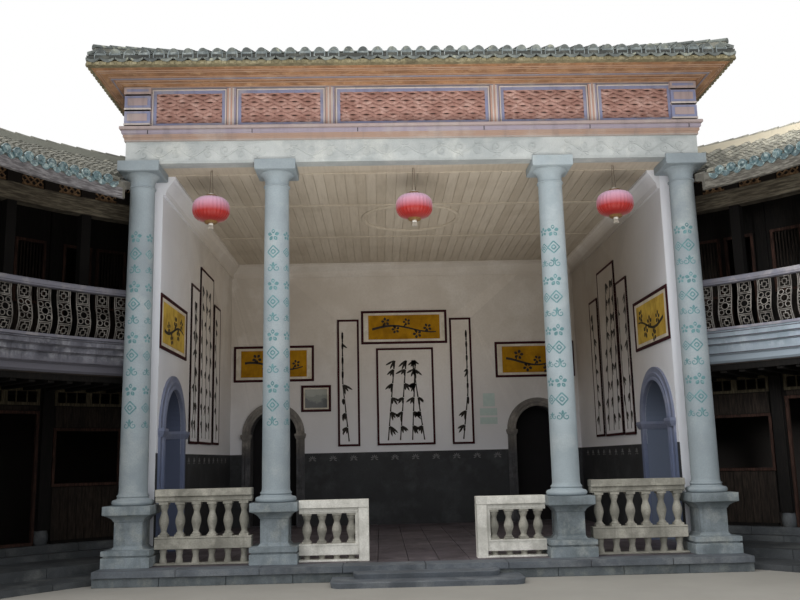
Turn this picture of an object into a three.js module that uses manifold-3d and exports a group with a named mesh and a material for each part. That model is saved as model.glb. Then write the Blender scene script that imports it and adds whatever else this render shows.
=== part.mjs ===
// Ancestral hall of a round tulou, with the nearest bays of the inner ring on both sides.
// Millimetres, +Z up. Origin: on the ground, on the axis of the four granite columns, in the
// middle of the hall. The courtyard lies towards -Y, and +X is on the right of someone facing
// the hall from the courtyard.
import * as THREE from "three";
import { mergeVertices } from "three/addons/utils/BufferGeometryUtils.js";
import Module from "manifold-3d";

const wasm = await Module();
wasm.setup();

const GAP = 0.3; // clearance where one piece is cut to fit another
const HALF_PI = Math.PI / 2;

// Driving dimensions of the hall
const COLUMN_X = [-4700, -2383, 2383, 4700];
const FLOOR_Z = 240;
const PLATFORM = { halfX: 5100, front: -750, back: 8400, slab: 100, overhang: 40 };
const STEPS = [
  { halfX: 1440, front: -1450, top: 85 },
  { halfX: 1110, front: -1100, top: 165 },
];
const STEP_ROUND = 180; // radius of the steps' front corners
const PEDESTAL = {
  half: 380, dieHalf: 225, lowerSlab: 400, groove: 430, upperSlab: 507,
  dieBottom: 555, dieTop: 945, capBottom: 1050, top: 1190,
};
const COLUMN_BASE = { torusRadius: 335, torusTop: 1283, ringRadius: 258, ringBottom: 1313, ringTop: 1360 };
const SHAFT = { bottomRadius: 228, topRadius: 206, astragal: 6500, bellBottom: 6560 };
const ABACUS = { half: 349, bottom: 6760, top: 6930 };
const LINTEL = { bottom: 6880, top: 7275, front: -300, back: -50, halfX: 4930 };
const CORNICE_TOP = 7530;
const FRIEZE = { top: 8260, front: -260, back: 20, recess: 60 };
const EAVE = { halfX: 5400, front: -1150, back: 9060, bottom: 8300, top: 8385 };
const ROOF = { pitch: 22, edge: 90, thickness: 160, ridgeWidth: 220, ridgeHeight: 190 };
const WALL = { inner: 4447, outer: 4980, front: 400, back: 7790, rear: 8300 };
const CEILING = { bottom: 6890, thickness: 60 };
const CEILING_RING = { x: 60, y: 3350, radius: 1000, half: 45, drop: 30 };
const PLASTER_CORNICE_BOTTOM = 6540;

// Driving dimensions of the ring. Its centre is in the middle of the round courtyard.
const RING_Y = -5720;
const BAY = 9; // degrees of the ring that one bay takes
const FIRST_POST = 42.9;
const WING_END = FIRST_POST + 2 * BAY + 1;
const PARTY_WALL_ANGLE = 2;
const GALLERY = { edge: 7980, bottom: 3330, top: 3910, handrail: 4830 };
const FRONT_R = 9900; // face of the timber room fronts
const PLINTH = { inner: FRONT_R - 160, outer: FRONT_R + 160, top: 470, baseTop: 720 };
const REAR = { inner: 12650, outer: 13000 };
const GALLERY_POST_R = 8650;
const BEAM = { bottom: 6240, top: 6540 };
const WING_ROOF = { eaveR: 6880, eaveZ: 6400, ridgeR: 10300, ridgeZ: 7920, rearR: 13300, thickness: 130, drop: 130 };
const WING_RIDGE = { half: 130, height: 135 };
const FAR = 20000; // beyond everything, for cutting tools

const stone = material("#8f938a", 0.85);
const paleStone = material("#b7b4a6", 0.85);
const darkStone = material("#5d5f60", 0.8);
const plaster = material("#d9d7d3", 0.9);
const lavender = material("#a3a0b8", 0.85);
const terracotta = material("#b98a74", 0.9);
const orangeTimber = material("#c48a5a", 0.75);
const ceilingBoard = material("#b8ac9c", 0.85);
const roofTile = material("#7b7d78", 0.95);
const redSilk = material("#b8323a", 0.6);
const maroon = material("#5a2422", 0.6);
const darkTimber = material("#2b201c", 0.8);
const paleTimber = material("#7d7467", 0.85);
const castIron = material("#8a8376", 0.7, 0.3);
const rammedEarth = material("#b7a88c", 0.95);

function material(color, roughness, metalness = 0) {
  return new THREE.MeshStandardMaterial({ color, roughness, metalness });
}

// A geometry as one closed solid, its faces turned outwards.
function solid(geometry) {
  const bare = (geometry.index ? geometry.toNonIndexed() : geometry.clone());
  for (const name of Object.keys(bare.attributes)) {
    if (name !== "position") bare.deleteAttribute(name);
  }
  const merged = mergeVertices(bare, 1e-3);
  const triVerts = new Uint32Array(merged.index.array);
  const positions = merged.attributes.position.array;
  if (signedVolume(positions, triVerts) < 0) triVerts.reverse();
  return new wasm.Manifold(new wasm.Mesh({ numProp: 3, vertProperties: positions, triVerts }));
}

function signedVolume(positions, triVerts) {
  const a = new THREE.Vector3();
  const b = new THREE.Vector3();
  const c = new THREE.Vector3();
  let volume = 0;
  for (let i = 0; i < triVerts.length; i += 3) {
    a.fromArray(positions, 3 * triVerts[i]);
    b.fromArray(positions, 3 * triVerts[i + 1]);
    c.fromArray(positions, 3 * triVerts[i + 2]);
    volume += a.dot(b.cross(c)) / 6;
  }
  return volume;
}

function geometryOf(body) {
  const mesh = body.getMesh();
  const geometry = new THREE.BufferGeometry();
  geometry.setAttribute("position", new THREE.BufferAttribute(mesh.vertProperties, 3));
  geometry.setIndex(new THREE.BufferAttribute(mesh.triVerts, 1));
  return geometry;
}

function join(...geometries) {
  const whole = geometries.flat().map(solid).reduce((sum, next) => sum.add(next));
  return geometryOf(whole);
}

function cut(geometry, ...tools) {
  const rest = tools.flat().reduce((left, tool) => left.subtract(solid(tool)), solid(geometry));
  return geometryOf(rest);
}

function block(x0, x1, y0, y1, z0, z1) {
  const geometry = new THREE.BoxGeometry(x1 - x0, y1 - y0, z1 - z0);
  return geometry.translate((x0 + x1) / 2, (y0 + y1) / 2, (z0 + z1) / 2);
}

function mirrored(geometry) {
  const copy = geometry.clone();
  const position = copy.attributes.position;
  for (let i = 0; i < position.count; i++) position.setX(i, -position.getX(i));
  return geometryOf(solid(copy));
}

// A turned piece about the vertical axis. The profile runs from the axis up and back to it.
function turned(profile, segments, x = 0, y = 0) {
  const points = profile.map(([r, z]) => new THREE.Vector2(r, z));
  return new THREE.LatheGeometry(points, segments).rotateX(HALF_PI).translate(x, y, 0);
}

// A flat outline in X and Z, given its thickness from y0 to y1.
function uprightX(shape, y0, y1, curveSegments = 12) {
  const geometry = new THREE.ExtrudeGeometry(shape, { depth: y1 - y0, bevelEnabled: false, curveSegments });
  return geometry.rotateX(HALF_PI).translate(0, y1, 0);
}

// A flat outline in Y and Z, given its thickness from x0 to x1.
function uprightY(shape, x0, x1, curveSegments = 12) {
  const geometry = new THREE.ExtrudeGeometry(shape, { depth: x1 - x0, bevelEnabled: false, curveSegments });
  return geometry.rotateX(HALF_PI).rotateZ(HALF_PI).translate(x0, 0, 0);
}

// A closed profile carried through stations, each of which places one profile point in space.
function swept(profile, stations, closed) {
  const n = profile.length;
  const positions = [];
  for (const place of stations) {
    for (const point of profile) positions.push(...place(point));
  }
  const index = [];
  const spans = closed ? stations.length : stations.length - 1;
  for (let s = 0; s < spans; s++) {
    const here = s * n;
    const next = ((s + 1) % stations.length) * n;
    for (let i = 0; i < n; i++) {
      const j = (i + 1) % n;
      index.push(here + i, here + j, next + j, here + i, next + j, next + i);
    }
  }
  if (!closed) addCaps(profile, index, (stations.length - 1) * n);
  const geometry = new THREE.BufferGeometry();
  geometry.setAttribute("position", new THREE.BufferAttribute(new Float32Array(positions), 3));
  geometry.setIndex(index);
  return geometry;
}

function addCaps(profile, index, last) {
  const outline = profile.map(([a, b]) => new THREE.Vector2(a, b));
  const turnsLeft = !THREE.ShapeUtils.isClockWise(outline);
  for (const [a, b, c] of THREE.ShapeUtils.triangulateShape(outline, [])) {
    const [u, v, w] = isLeft(outline, a, b, c) === turnsLeft ? [a, b, c] : [a, c, b];
    index.push(u, w, v, last + u, last + v, last + w);
  }
}

function isLeft(outline, a, b, c) {
  const u = outline[b].clone().sub(outline[a]);
  const v = outline[c].clone().sub(outline[a]);
  return u.cross(v) > 0;
}

// A profile of radius and height, carried round the ring through angles from the +Y axis.
function ringSweep(profile, anglesInDegrees) {
  const stations = anglesInDegrees.map((degrees) => {
    const angle = THREE.MathUtils.degToRad(degrees);
    return ([r, z]) => [r * Math.sin(angle), RING_Y + r * Math.cos(angle), z];
  });
  return swept(profile, stations, false);
}

function spread(start, end, steps) {
  return Array.from({ length: steps + 1 }, (_, i) => start + ((end - start) * i) / steps);
}

function ringBlock(r0, r1, z0, z1, anglesInDegrees) {
  return ringSweep([[r0, z0], [r1, z0], [r1, z1], [r0, z1]], anglesInDegrees);
}

// A moulding along the inner faces of the side walls and the back wall, mitred at its corners.
function roomMoulding(profile, halfX, y0, y1) {
  const stations = [
    ([inwards, z]) => [-halfX + inwards, y0, z],
    ([inwards, z]) => [-halfX + inwards, y1 - inwards, z],
    ([inwards, z]) => [halfX - inwards, y1 - inwards, z],
    ([inwards, z]) => [halfX - inwards, y0, z],
  ];
  return swept(profile, stations, false);
}

// An opening or a surround with a round head, standing on a level base.
function archOutline(centre, halfWidth, base, spring) {
  const shape = new THREE.Shape();
  shape.moveTo(centre - halfWidth, base);
  shape.lineTo(centre + halfWidth, base);
  shape.lineTo(centre + halfWidth, spring);
  shape.absarc(centre, spring, halfWidth, 0, Math.PI, false);
  shape.closePath();
  return shape;
}

function rectangle(u0, u1, z0, z1) {
  const shape = new THREE.Shape();
  shape.moveTo(u0, z0);
  shape.lineTo(u1, z0);
  shape.lineTo(u1, z1);
  shape.lineTo(u0, z1);
  shape.closePath();
  return shape;
}

const hall = new THREE.Group();

function add(name, geometry, finish) {
  const mesh = new THREE.Mesh(geometry, finish);
  mesh.name = name;
  hall.add(mesh);
}

const SIDES = [["left", -1], ["right", 1]];

// Platform of stone slabs that oversail their base, and the two slab steps up to it
function addPlatform() {
  const { halfX, front, back, slab, overhang } = PLATFORM;
  const base = block(-halfX, halfX, front + overhang, back, 0, FLOOR_Z - slab + 1);
  const paving = block(-halfX, halfX, front, back, FLOOR_Z - slab, FLOOR_Z);
  add("platform", join(base, paving), stone);
}

function stepOutline(halfX, front, back, round) {
  const shape = new THREE.Shape();
  shape.moveTo(-halfX, back);
  shape.lineTo(-halfX, front + round);
  shape.absarc(-halfX + round, front + round, round, Math.PI, 1.5 * Math.PI, false);
  shape.absarc(halfX - round, front + round, round, 1.5 * Math.PI, 2 * Math.PI, false);
  shape.lineTo(halfX, back);
  shape.closePath();
  return shape;
}

function addSteps() {
  const baseFront = PLATFORM.front - 2 * GAP;
  const slabs = STEPS.map(({ halfX, front, top }) => {
    const outline = stepOutline(halfX, front, baseFront, STEP_ROUND);
    return new THREE.ExtrudeGeometry(outline, { depth: top, bevelEnabled: false, curveSegments: 6 });
  });
  add("front_steps", join(slabs), stone);
}

// Square pedestals and turned granite columns, each with a square abacus
function addColumns() {
  const names = ["outer_left", "inner_left", "inner_right", "outer_right"];
  COLUMN_X.forEach((x, i) => {
    add("pedestal_" + names[i], pedestal(x), stone);
    add("column_" + names[i], column(x), stone);
  });
}

function pedestal(x) {
  const { half, dieHalf, lowerSlab, groove, upperSlab, dieBottom, dieTop, capBottom, top } = PEDESTAL;
  const profile = [
    [0, FLOOR_Z],
    [half, FLOOR_Z],
    [half, lowerSlab],
    [half - 30, lowerSlab],
    [half - 30, groove],
    [half, groove],
    [half, upperSlab],
    [dieHalf + 45, upperSlab + 15],
    [dieHalf, dieBottom],
    [dieHalf, dieTop],
    [dieHalf + 50, dieTop + 40],
    [half - 30, capBottom],
    [half, capBottom],
    [half, top],
    [0, top],
  ];
  return squareTurned(profile, x, 0);
}

// A piece of square section whose profile is the same on all four sides
function squareTurned(profile, x, y) {
  const points = profile.map(([r, z]) => new THREE.Vector2(r * Math.SQRT2, z));
  return new THREE.LatheGeometry(points, 4).rotateX(HALF_PI).rotateZ(Math.PI / 4).translate(x, y, 0);
}

function column(x) {
  const { torusRadius, torusTop, ringRadius, ringBottom, ringTop } = COLUMN_BASE;
  const { bottomRadius, topRadius, astragal, bellBottom } = SHAFT;
  const { half, bottom, top } = ABACUS;
  const torusMiddle = (PEDESTAL.top + torusTop) / 2;
  const profile = [
    [0, PEDESTAL.top],
    [torusRadius - 20, PEDESTAL.top],
    [torusRadius, torusMiddle],
    [torusRadius - 20, torusTop],
    [ringRadius - 18, torusTop],
    [ringRadius - 18, ringBottom],
    [ringRadius, ringBottom],
    [ringRadius, ringTop],
    [bottomRadius, ringTop + 20],
    [topRadius, astragal],
    [topRadius + 22, astragal + 12],
    [topRadius + 22, astragal + 36],
    [topRadius, astragal + 50],
    [topRadius, bellBottom],
    [topRadius + 35, (bellBottom + bottom) / 2 + 20],
    [half - 60, bottom - 20],
    [half - 45, bottom + 1],
    [0, bottom + 1],
  ];
  const abacus = block(x - half, x + half, -half, half, bottom, top);
  return join(turned(profile, 24, x), abacus);
}

// Balustrades of turned stone balusters between the pedestals
const OUTER_RAIL = { top: 1430, railBottom: 1315, balusterTop: 1220, balusterFoot: 680, low: 487, count: 6 };
const INNER_RAIL = { top: 1205, railBottom: 1080, balusterTop: 990, balusterFoot: 515, low: 341, count: 4 };
const RAIL_HALF = 120;
const RAIL_SILL = 30; // thickness of the strip on the platform that the low balusters stand on
const POST = { inner: 873, outer: 1040, top: 1205 };

function balustrade(x0, x1, rail) {
  const lowBottom = FLOOR_Z + RAIL_SILL;
  const parts = [
    block(x0, x1, -RAIL_HALF, RAIL_HALF, rail.railBottom, rail.top),
    block(x0, x1, -RAIL_HALF + 30, RAIL_HALF - 30, rail.balusterTop, rail.railBottom + 1),
    block(x0, x1, -RAIL_HALF + 20, RAIL_HALF - 20, rail.low, rail.balusterFoot),
    block(x0, x1, -RAIL_HALF, RAIL_HALF, FLOOR_Z, lowBottom),
  ];
  for (let i = 0; i < rail.count; i++) {
    const x = x0 + ((x1 - x0) * (i + 0.5)) / rail.count;
    parts.push(baluster(x, rail.balusterFoot - 1, rail.balusterTop + 1));
    parts.push(lowBaluster(x, lowBottom - 1, rail.low + 1));
  }
  return parts;
}

// A double vase: a square-shouldered foot and head, two necks, and the belly half way up
function baluster(x, z0, z1) {
  const h = z1 - z0;
  const profile = [
    [0, z0],
    [72, z0],
    [70, z0 + 0.05 * h],
    [48, z0 + 0.16 * h],
    [78, z0 + 0.4 * h],
    [76, z0 + 0.54 * h],
    [47, z0 + 0.68 * h],
    [68, z0 + 0.84 * h],
    [70, z1],
    [0, z1],
  ];
  return turned(profile, 8, x);
}

function lowBaluster(x, z0, z1) {
  return turned([[0, z0], [62, z0], [46, (z0 + z1) / 2], [64, z1], [0, z1]], 8, x);
}

function addBalustrades() {
  const outer = balustrade(COLUMN_X[2] + PEDESTAL.half + GAP, COLUMN_X[3] - PEDESTAL.half - GAP, OUTER_RAIL);
  const inner = balustrade(POST.outer - 1, COLUMN_X[2] - PEDESTAL.half - GAP, INNER_RAIL);
  const post = block(POST.inner, POST.outer, -RAIL_HALF, RAIL_HALF, FLOOR_Z, POST.top);
  const outerRight = join(outer);
  const innerRight = join(inner, post);
  add("balustrade_outer_right", outerRight, paleStone);
  add("balustrade_inner_right", innerRight, paleStone);
  add("balustrade_outer_left", mirrored(outerRight), paleStone);
  add("balustrade_inner_left", mirrored(innerRight), paleStone);
}

// Side walls and back wall, with round-headed doorways and raised hanging panels
const SIDE_ARCH = { centre: 1485, half: 725, spring: 2440, band: 250 };
const BACK_ARCH = { centre: 3361, half: 575, spring: 2520, band: 212 };
const PANEL_DEPTH = 25;
const SIDE_SCROLLS = [[2860, 3640, 2220, 5440], [3740, 5170, 2230, 5970], [5310, 6060, 2240, 5430]];
const BACK_SCROLLS = [[-735, 735, 2180, 4650], [-1730, -1170, 2175, 5410], [1170, 1730, 2175, 5410]];

function addWalls() {
  for (const [side, sign] of SIDES) add("side_wall_" + side, sideWall(sign), plaster);
  const { outer, back, rear } = WALL;
  const whole = block(-outer, outer, back, rear, FLOOR_Z, FRIEZE.top);
  const doors = [-1, 1].map((s) => {
    const outline = archOutline(s * BACK_ARCH.centre, BACK_ARCH.half, FLOOR_Z - 10, BACK_ARCH.spring);
    return uprightX(outline, back - 10, rear + 10);
  });
  const panels = BACK_SCROLLS.map(([x0, x1, z0, z1]) => block(x0, x1, back - PANEL_DEPTH, back + 1, z0, z1));
  add("back_wall", join(cut(whole, doors), panels), plaster);
}

function sideWall(sign) {
  const { inner, outer, front, back } = WALL;
  const whole = block(inner, outer, front, back, FLOOR_Z, FRIEZE.top);
  const outline = archOutline(SIDE_ARCH.centre, SIDE_ARCH.half, FLOOR_Z - 10, SIDE_ARCH.spring);
  const door = uprightY(outline, inner - 10, outer + 10);
  const raised = inner - PANEL_DEPTH;
  const panels = SIDE_SCROLLS.map(([y0, y1, z0, z1]) => block(raised, inner + 1, y0, y1, z0, z1));
  const wall = join(cut(whole, door), panels);
  return sign > 0 ? wall : mirrored(wall);
}

// Moulded stone surround of a doorway, on the room side of a wall whose room face is at face
const SURROUND = { outerDepth: 45, innerDepth: 75, innerShare: 0.55, impostDepth: 105, impostHeight: 110 };
const IMPOST_OVERHANG = 30;

function surround({ centre, half, spring, band }, upright, face) {
  const plate = (outline, depth) => upright(outline, face - depth, face);
  const outerBand = plate(archOutline(centre, half + band, FLOOR_Z, spring), SURROUND.outerDepth);
  const innerHalf = half + SURROUND.innerShare * band;
  const innerBand = plate(archOutline(centre, innerHalf, FLOOR_Z, spring), SURROUND.innerDepth);
  const opening = upright(archOutline(centre, half, FLOOR_Z - 10, spring), face - 200, face + 200);
  const imposts = [-1, 1].map((s) => {
    const middle = centre + s * (half + band / 2);
    const reach = band / 2 + IMPOST_OVERHANG;
    const outline = rectangle(middle - reach, middle + reach, spring - SURROUND.impostHeight, spring);
    return plate(outline, SURROUND.impostDepth);
  });
  return join(cut(join(outerBand, innerBand), opening), imposts);
}

function addSurrounds() {
  const side = surround(SIDE_ARCH, uprightY, WALL.inner);
  const back = surround(BACK_ARCH, uprightX, WALL.back);
  add("side_arch_surround_right", side, darkStone);
  add("side_arch_surround_left", mirrored(side), darkStone);
  add("back_arch_surround_right", back, darkStone);
  add("back_arch_surround_left", mirrored(back), darkStone);
}

// Three lintel stones on the abaci, jointed over the inner columns
function addLintels() {
  const { bottom, top, front, back, halfX } = LINTEL;
  const ends = [-halfX, COLUMN_X[1] - GAP, COLUMN_X[2] - GAP, halfX];
  const starts = [-halfX, COLUMN_X[1] + GAP, COLUMN_X[2] + GAP];
  ["left", "centre", "right"].forEach((name, i) => {
    const stoneBlock = block(starts[i], ends[i + 1], front, back, bottom, top);
    add("lintel_" + name, cut(stoneBlock, abacusSeats()), stone);
  });
}

function abacusSeats() {
  const half = ABACUS.half + GAP;
  return COLUMN_X.map((x) => block(x - half, x + half, -half, half, ABACUS.bottom, ABACUS.top + GAP));
}

// Painted string cornice over the lintels, with short returns at the ends
const CORNICE_BACK = -280;

function addStringCornice() {
  const profile = [
    [CORNICE_BACK, LINTEL.top],
    [25, LINTEL.top],
    [25, LINTEL.top + 50],
    [45, LINTEL.top + 60],
    [45, LINTEL.top + 112],
    [68, LINTEL.top + 122],
    [68, LINTEL.top + 186],
    [100, LINTEL.top + 200],
    [100, CORNICE_TOP],
    [CORNICE_BACK, CORNICE_TOP],
  ];
  const halfX = LINTEL.halfX;
  const returnEnd = FRIEZE.back + 60;
  const stations = [
    ([out, z]) => [-halfX - out, returnEnd, z],
    ([out, z]) => [-halfX - out, LINTEL.front - out, z],
    ([out, z]) => [halfX + out, LINTEL.front - out, z],
    ([out, z]) => [halfX + out, returnEnd, z],
  ];
  add("string_cornice", geometryOf(solid(swept(profile, stations, false))), lavender);
}

// Frieze with five sunk panels backed by tiles, pilaster strips between them and banded ends
const PANELS = [[-4451, -3289], [-2992, -1588], [-1277, 1286], [1583, 3015], [3302, 4503]];
const PANEL_Z = [7600, 8175];
const TILE_BACKING = 30;
const PILASTER = { half: 75, depth: 25 };
const END_BLOCK = { x: 4750, half: 220, depth: 60, heights: [[42, 295], [323, 576], [604, 730]] };

function addFrieze() {
  const { top, front, back, recess } = FRIEZE;
  const halfX = LINTEL.halfX;
  const wall = block(-halfX, halfX, front, back, CORNICE_TOP, top);
  const sunk = PANELS.map(([x0, x1]) => block(x0, x1, front - 10, front + recess, ...PANEL_Z));
  const tileFront = front + recess - TILE_BACKING;
  const tiles = PANELS.map(([x0, x1]) => block(x0 - 1, x1 + 1, tileFront, front + recess + 1, ...PANEL_Z));
  const pilasters = PANELS.slice(1).map(([x0], i) => {
    const middle = (PANELS[i][1] + x0) / 2;
    const { half, depth } = PILASTER;
    return block(middle - half, middle + half, front - depth, front + 1, CORNICE_TOP, top);
  });
  const ends = [-1, 1].flatMap((s) => END_BLOCK.heights.map(([low, high]) => {
    const { x, half, depth } = END_BLOCK;
    return block(s * x - half, s * x + half, front - depth, front + 1, CORNICE_TOP + low, CORNICE_TOP + high);
  }));
  add("frieze", join(cut(wall, sunk), tiles, pilasters, ends), lavender);
}

// Coved and moulded timber soffit that carries the eaves round all four sides
function addEaveCornice() {
  const { halfX, front, bottom, top } = EAVE;
  const reach = halfX - LINTEL.halfX;
  const frontReach = FRIEZE.front - front;
  const backReach = EAVE.back - WALL.rear;
  const profile = [
    [-360, FRIEZE.top],
    [20, FRIEZE.top],
    [70, FRIEZE.top + 22],
    [0.3 * reach + 60, FRIEZE.top + 28],
    [0.45 * reach + 60, FRIEZE.top + 34],
    [0.8 * reach, FRIEZE.top + 38],
    [reach, bottom],
    [reach, top],
    [-360, top],
  ];
  const scaled = (out, reachHere) => (out > 0 ? (out * reachHere) / reach : out);
  const stations = [[-1, -1], [1, -1], [1, 1], [-1, 1]].map(([sx, sy]) => ([out, z]) => {
    const x = sx * (LINTEL.halfX + out);
    const y = sy < 0 ? FRIEZE.front - scaled(out, frontReach) : WALL.rear + scaled(out, backReach);
    return [x, y, z];
  });
  add("eave_cornice", geometryOf(solid(swept(profile, stations, true))), orangeTimber);
}

// Low hipped roof of four slopes on the eave cornice, which meet in a ridge and four hips
function roofRun() {
  return (EAVE.back - EAVE.front) / 2;
}

// One slope, from its plan corners and how far up the slope each of them lies, gap kept at its hips
function roofSlope(plan, rise) {
  const { edge, thickness } = ROOF;
  const surface = plan.map(([x, y, run]) => [x, y, EAVE.top + edge + run * rise]);
  const under = surface.map(([x, y, z]) => [x, y, z - thickness]);
  const n = plan.length;
  const index = [];
  for (let i = 1; i < n - 1; i++) index.push(0, i, i + 1, n, n + i + 1, n + i);
  for (let i = 0; i < n; i++) {
    const j = (i + 1) % n;
    index.push(i, n + i, n + j, i, n + j, j);
  }
  const geometry = new THREE.BufferGeometry();
  geometry.setAttribute("position", new THREE.BufferAttribute(new Float32Array([surface, under].flat(2)), 3));
  geometry.setIndex(index);
  return cut(geometry, block(-FAR, FAR, -FAR, FAR, 0, EAVE.top));
}

function addHallRoof() {
  const { halfX, front, back } = EAVE;
  const rise = Math.tan(THREE.MathUtils.degToRad(ROOF.pitch));
  const run = roofRun();
  const middle = (front + back) / 2;
  const ridgeX = halfX - run;
  const trapezium = (eaveY, ridgeY, s) => [
    [-s * (halfX - GAP), eaveY, 0],
    [s * (halfX - GAP), eaveY, 0],
    [s * (ridgeX - GAP), ridgeY, run],
    [-s * (ridgeX - GAP), ridgeY, run],
  ];
  const triangle = (s) => [
    [s * halfX, s > 0 ? front + GAP : back - GAP, 0],
    [s * halfX, s > 0 ? back - GAP : front + GAP, 0],
    [s * (ridgeX + GAP), middle, run],
  ];
  const slopes = [
    ["front", trapezium(front, middle - GAP, 1)],
    ["back", trapezium(back, middle + GAP, -1)],
    ["left", triangle(-1)],
    ["right", triangle(1)],
  ];
  for (const [side, plan] of slopes) add("hall_roof_" + side, roofSlope(plan, rise), roofTile);
  add("hall_roof_ridges", hallRidges(rise, run, middle, ridgeX), roofTile);
}

// Mortar-bedded ridge and hip caps, which sit astride the lines where the slopes meet
function hallRidges(rise, run, middle, ridgeX) {
  const { halfX, front, back, top } = EAVE;
  const { edge, ridgeWidth, ridgeHeight } = ROOF;
  const half = ridgeWidth / 2;
  const lift = (runHere) => top + edge + runHere * rise;
  const bar = ([x0, y0, z0], [x1, y1, z1]) => {
    const along = new THREE.Vector2(x1 - x0, y1 - y0).normalize();
    const profile = [[-half, -half], [half, -half], [half * 0.6, ridgeHeight], [-half * 0.6, ridgeHeight]];
    const place = (x, y, z) => ([side, up]) => [x - along.y * side, y + along.x * side, z + up];
    return swept(profile, [place(x0, y0, z0), place(x1, y1, z1)], false);
  };
  const cap = [bar([-ridgeX - half, middle, lift(run)], [ridgeX + half, middle, lift(run)])];
  for (const [sx, y] of [[-1, front], [1, front], [1, back], [-1, back]]) {
    const corner = [sx * (halfX - half), y + Math.sign(middle - y) * half, lift(half)];
    cap.push(bar(corner, [sx * ridgeX, middle, lift(run)]));
  }
  const slopes = hipVolume(lift(0) + GAP, rise, run, middle, ridgeX);
  return cut(join(cap), slopes);
}

// Everything under the four slopes, from well below the eaves
function hipVolume(eaveZ, rise, run, middle, ridgeX) {
  const { halfX, front, back } = EAVE;
  const margin = 1000;
  const low = eaveZ - margin * rise;
  const x = halfX + margin;
  const points = [
    [-x, front - margin, low], [x, front - margin, low], [x, back + margin, low], [-x, back + margin, low],
    [-ridgeX, middle, eaveZ + run * rise], [ridgeX, middle, eaveZ + run * rise],
  ];
  const faces = [[0, 2, 1], [0, 3, 2], [0, 1, 5], [0, 5, 4], [1, 2, 5], [2, 3, 4], [2, 4, 5], [3, 0, 4]];
  const geometry = new THREE.BufferGeometry();
  geometry.setAttribute("position", new THREE.BufferAttribute(new Float32Array(points.flat()), 3));
  geometry.setIndex(faces.flat());
  return geometry;
}

// Boarded ceiling with a round moulding, and the plaster cornice under it
function addCeiling() {
  const { bottom, thickness } = CEILING;
  const { x, y, radius, half, drop } = CEILING_RING;
  const halfX = WALL.inner - GAP;
  const back = WALL.back - GAP;
  const boards = block(-halfX, halfX, LINTEL.back + GAP, back, bottom, bottom + thickness);
  const ringProfile = [
    [radius - half, bottom - drop],
    [radius + half, bottom - drop],
    [radius + half, bottom + 5],
    [radius - half, bottom + 5],
    [radius - half, bottom - drop],
  ];
  add("ceiling", join(cut(boards, abacusSeats()), turned(ringProfile, 32, x, y)), ceilingBoard);
  const cornice = [
    [0, PLASTER_CORNICE_BOTTOM],
    [40, PLASTER_CORNICE_BOTTOM],
    [60, PLASTER_CORNICE_BOTTOM + 90],
    [170, bottom - 90],
    [210, bottom - 60],
    [210, bottom - GAP],
    [0, bottom - GAP],
  ];
  const moulding = roomMoulding(cornice, halfX, WALL.front, back);
  add("plaster_cornice", geometryOf(solid(moulding)), plaster);
}

// Framed name boards and their frames, without writing
const BOARD_DEPTH = 55;
const BACK_BOARDS = [
  ["centre", -1110, 1110, 4760, 5630],
  ["left", -4380, -2330, 3840, 4760],
  ["right", 2330, 4380, 3840, 4760],
];
const SIDE_BOARD = [410, 2470, 3810, 4780];

function addBoards() {
  for (const [name, x0, x1, z0, z1] of BACK_BOARDS) {
    add("name_board_back_" + name, block(x0, x1, WALL.back - BOARD_DEPTH, WALL.back, z0, z1), maroon);
  }
  const [y0, y1, z0, z1] = SIDE_BOARD;
  const right = block(WALL.inner - BOARD_DEPTH, WALL.inner, y0, y1, z0, z1);
  add("name_board_side_right", right, maroon);
  add("name_board_side_left", mirrored(right), maroon);
}

// Red lanterns hung from the ceiling by taut cords
const LANTERN = { x: [-3540, 0, 3540], y: 120, z: 6180, radius: 315, half: 215, collar: 110, cord: 9 };

function addLanterns() {
  const names = ["left", "centre", "right"];
  LANTERN.x.forEach((x, i) => add("lantern_" + names[i], lantern(x), redSilk));
}

function lantern(x) {
  const { y, z, radius, half, collar, cord } = LANTERN;
  const profile = [
    [0, z - half - 130],
    [24, z - half - 120],
    [24, z - half - 30],
    [collar, z - half - 30],
    [collar, z - half + 10],
  ];
  for (let i = 1; i < 10; i++) {
    const t = -1 + (2 * i) / 10;
    profile.push([collar + (radius - collar) * Math.sqrt(1 - t * t), z + half * 0.94 * t]);
  }
  profile.push(
    [collar, z + half - 10],
    [collar, z + half + 30],
    [20, z + half + 35],
    [cord, z + half + 60],
    [cord, CEILING.bottom],
    [0, CEILING.bottom],
  );
  return turned(profile, 16, x, y);
}

// Everything of the ring keeps clear of the hall's side wall, outer column and eaves
function clearOfHall(geometry, sideFace = WALL.outer) {
  const x = COLUMN_X[3];
  const around = (half, z0, z1) => block(x - half, x + half, -half, half, z0, z1);
  return cut(
    geometry,
    block(-FAR, sideFace + GAP, PLATFORM.front + 350, FAR, -10, FAR),
    block(-FAR, x + 100, -FAR, FAR, -10, FAR),
    around(PEDESTAL.half + GAP, -10, PEDESTAL.top + GAP),
    around(COLUMN_BASE.torusRadius + GAP, PEDESTAL.top, COLUMN_BASE.ringTop + 30),
    around(SHAFT.bottomRadius + 20, 0, SHAFT.bellBottom),
    around(ABACUS.half + GAP, SHAFT.bellBottom - 80, ABACUS.top + GAP),
    block(-FAR, EAVE.halfX + 20, -FAR, FAR, FRIEZE.top - 10, FAR),
  );
}

const WING_START = 15; // degrees, well inside the hall, before it is cut away
const WING_ANGLES = spread(WING_START, WING_END, 16);
const PARTY_WALL_END = WING_END + PARTY_WALL_ANGLE;
const WHOLE_WING = [...WING_ANGLES, PARTY_WALL_END];

// Stone walkway with its low outer step, inner step, plinth, post bases and room floor
const WALKWAY = { edge: 7400, edgeTop: 90, step: 8250, inner: FRONT_R - 420, innerTop: 340 };
const POST_BASE_RADIUS = 130;

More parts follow.
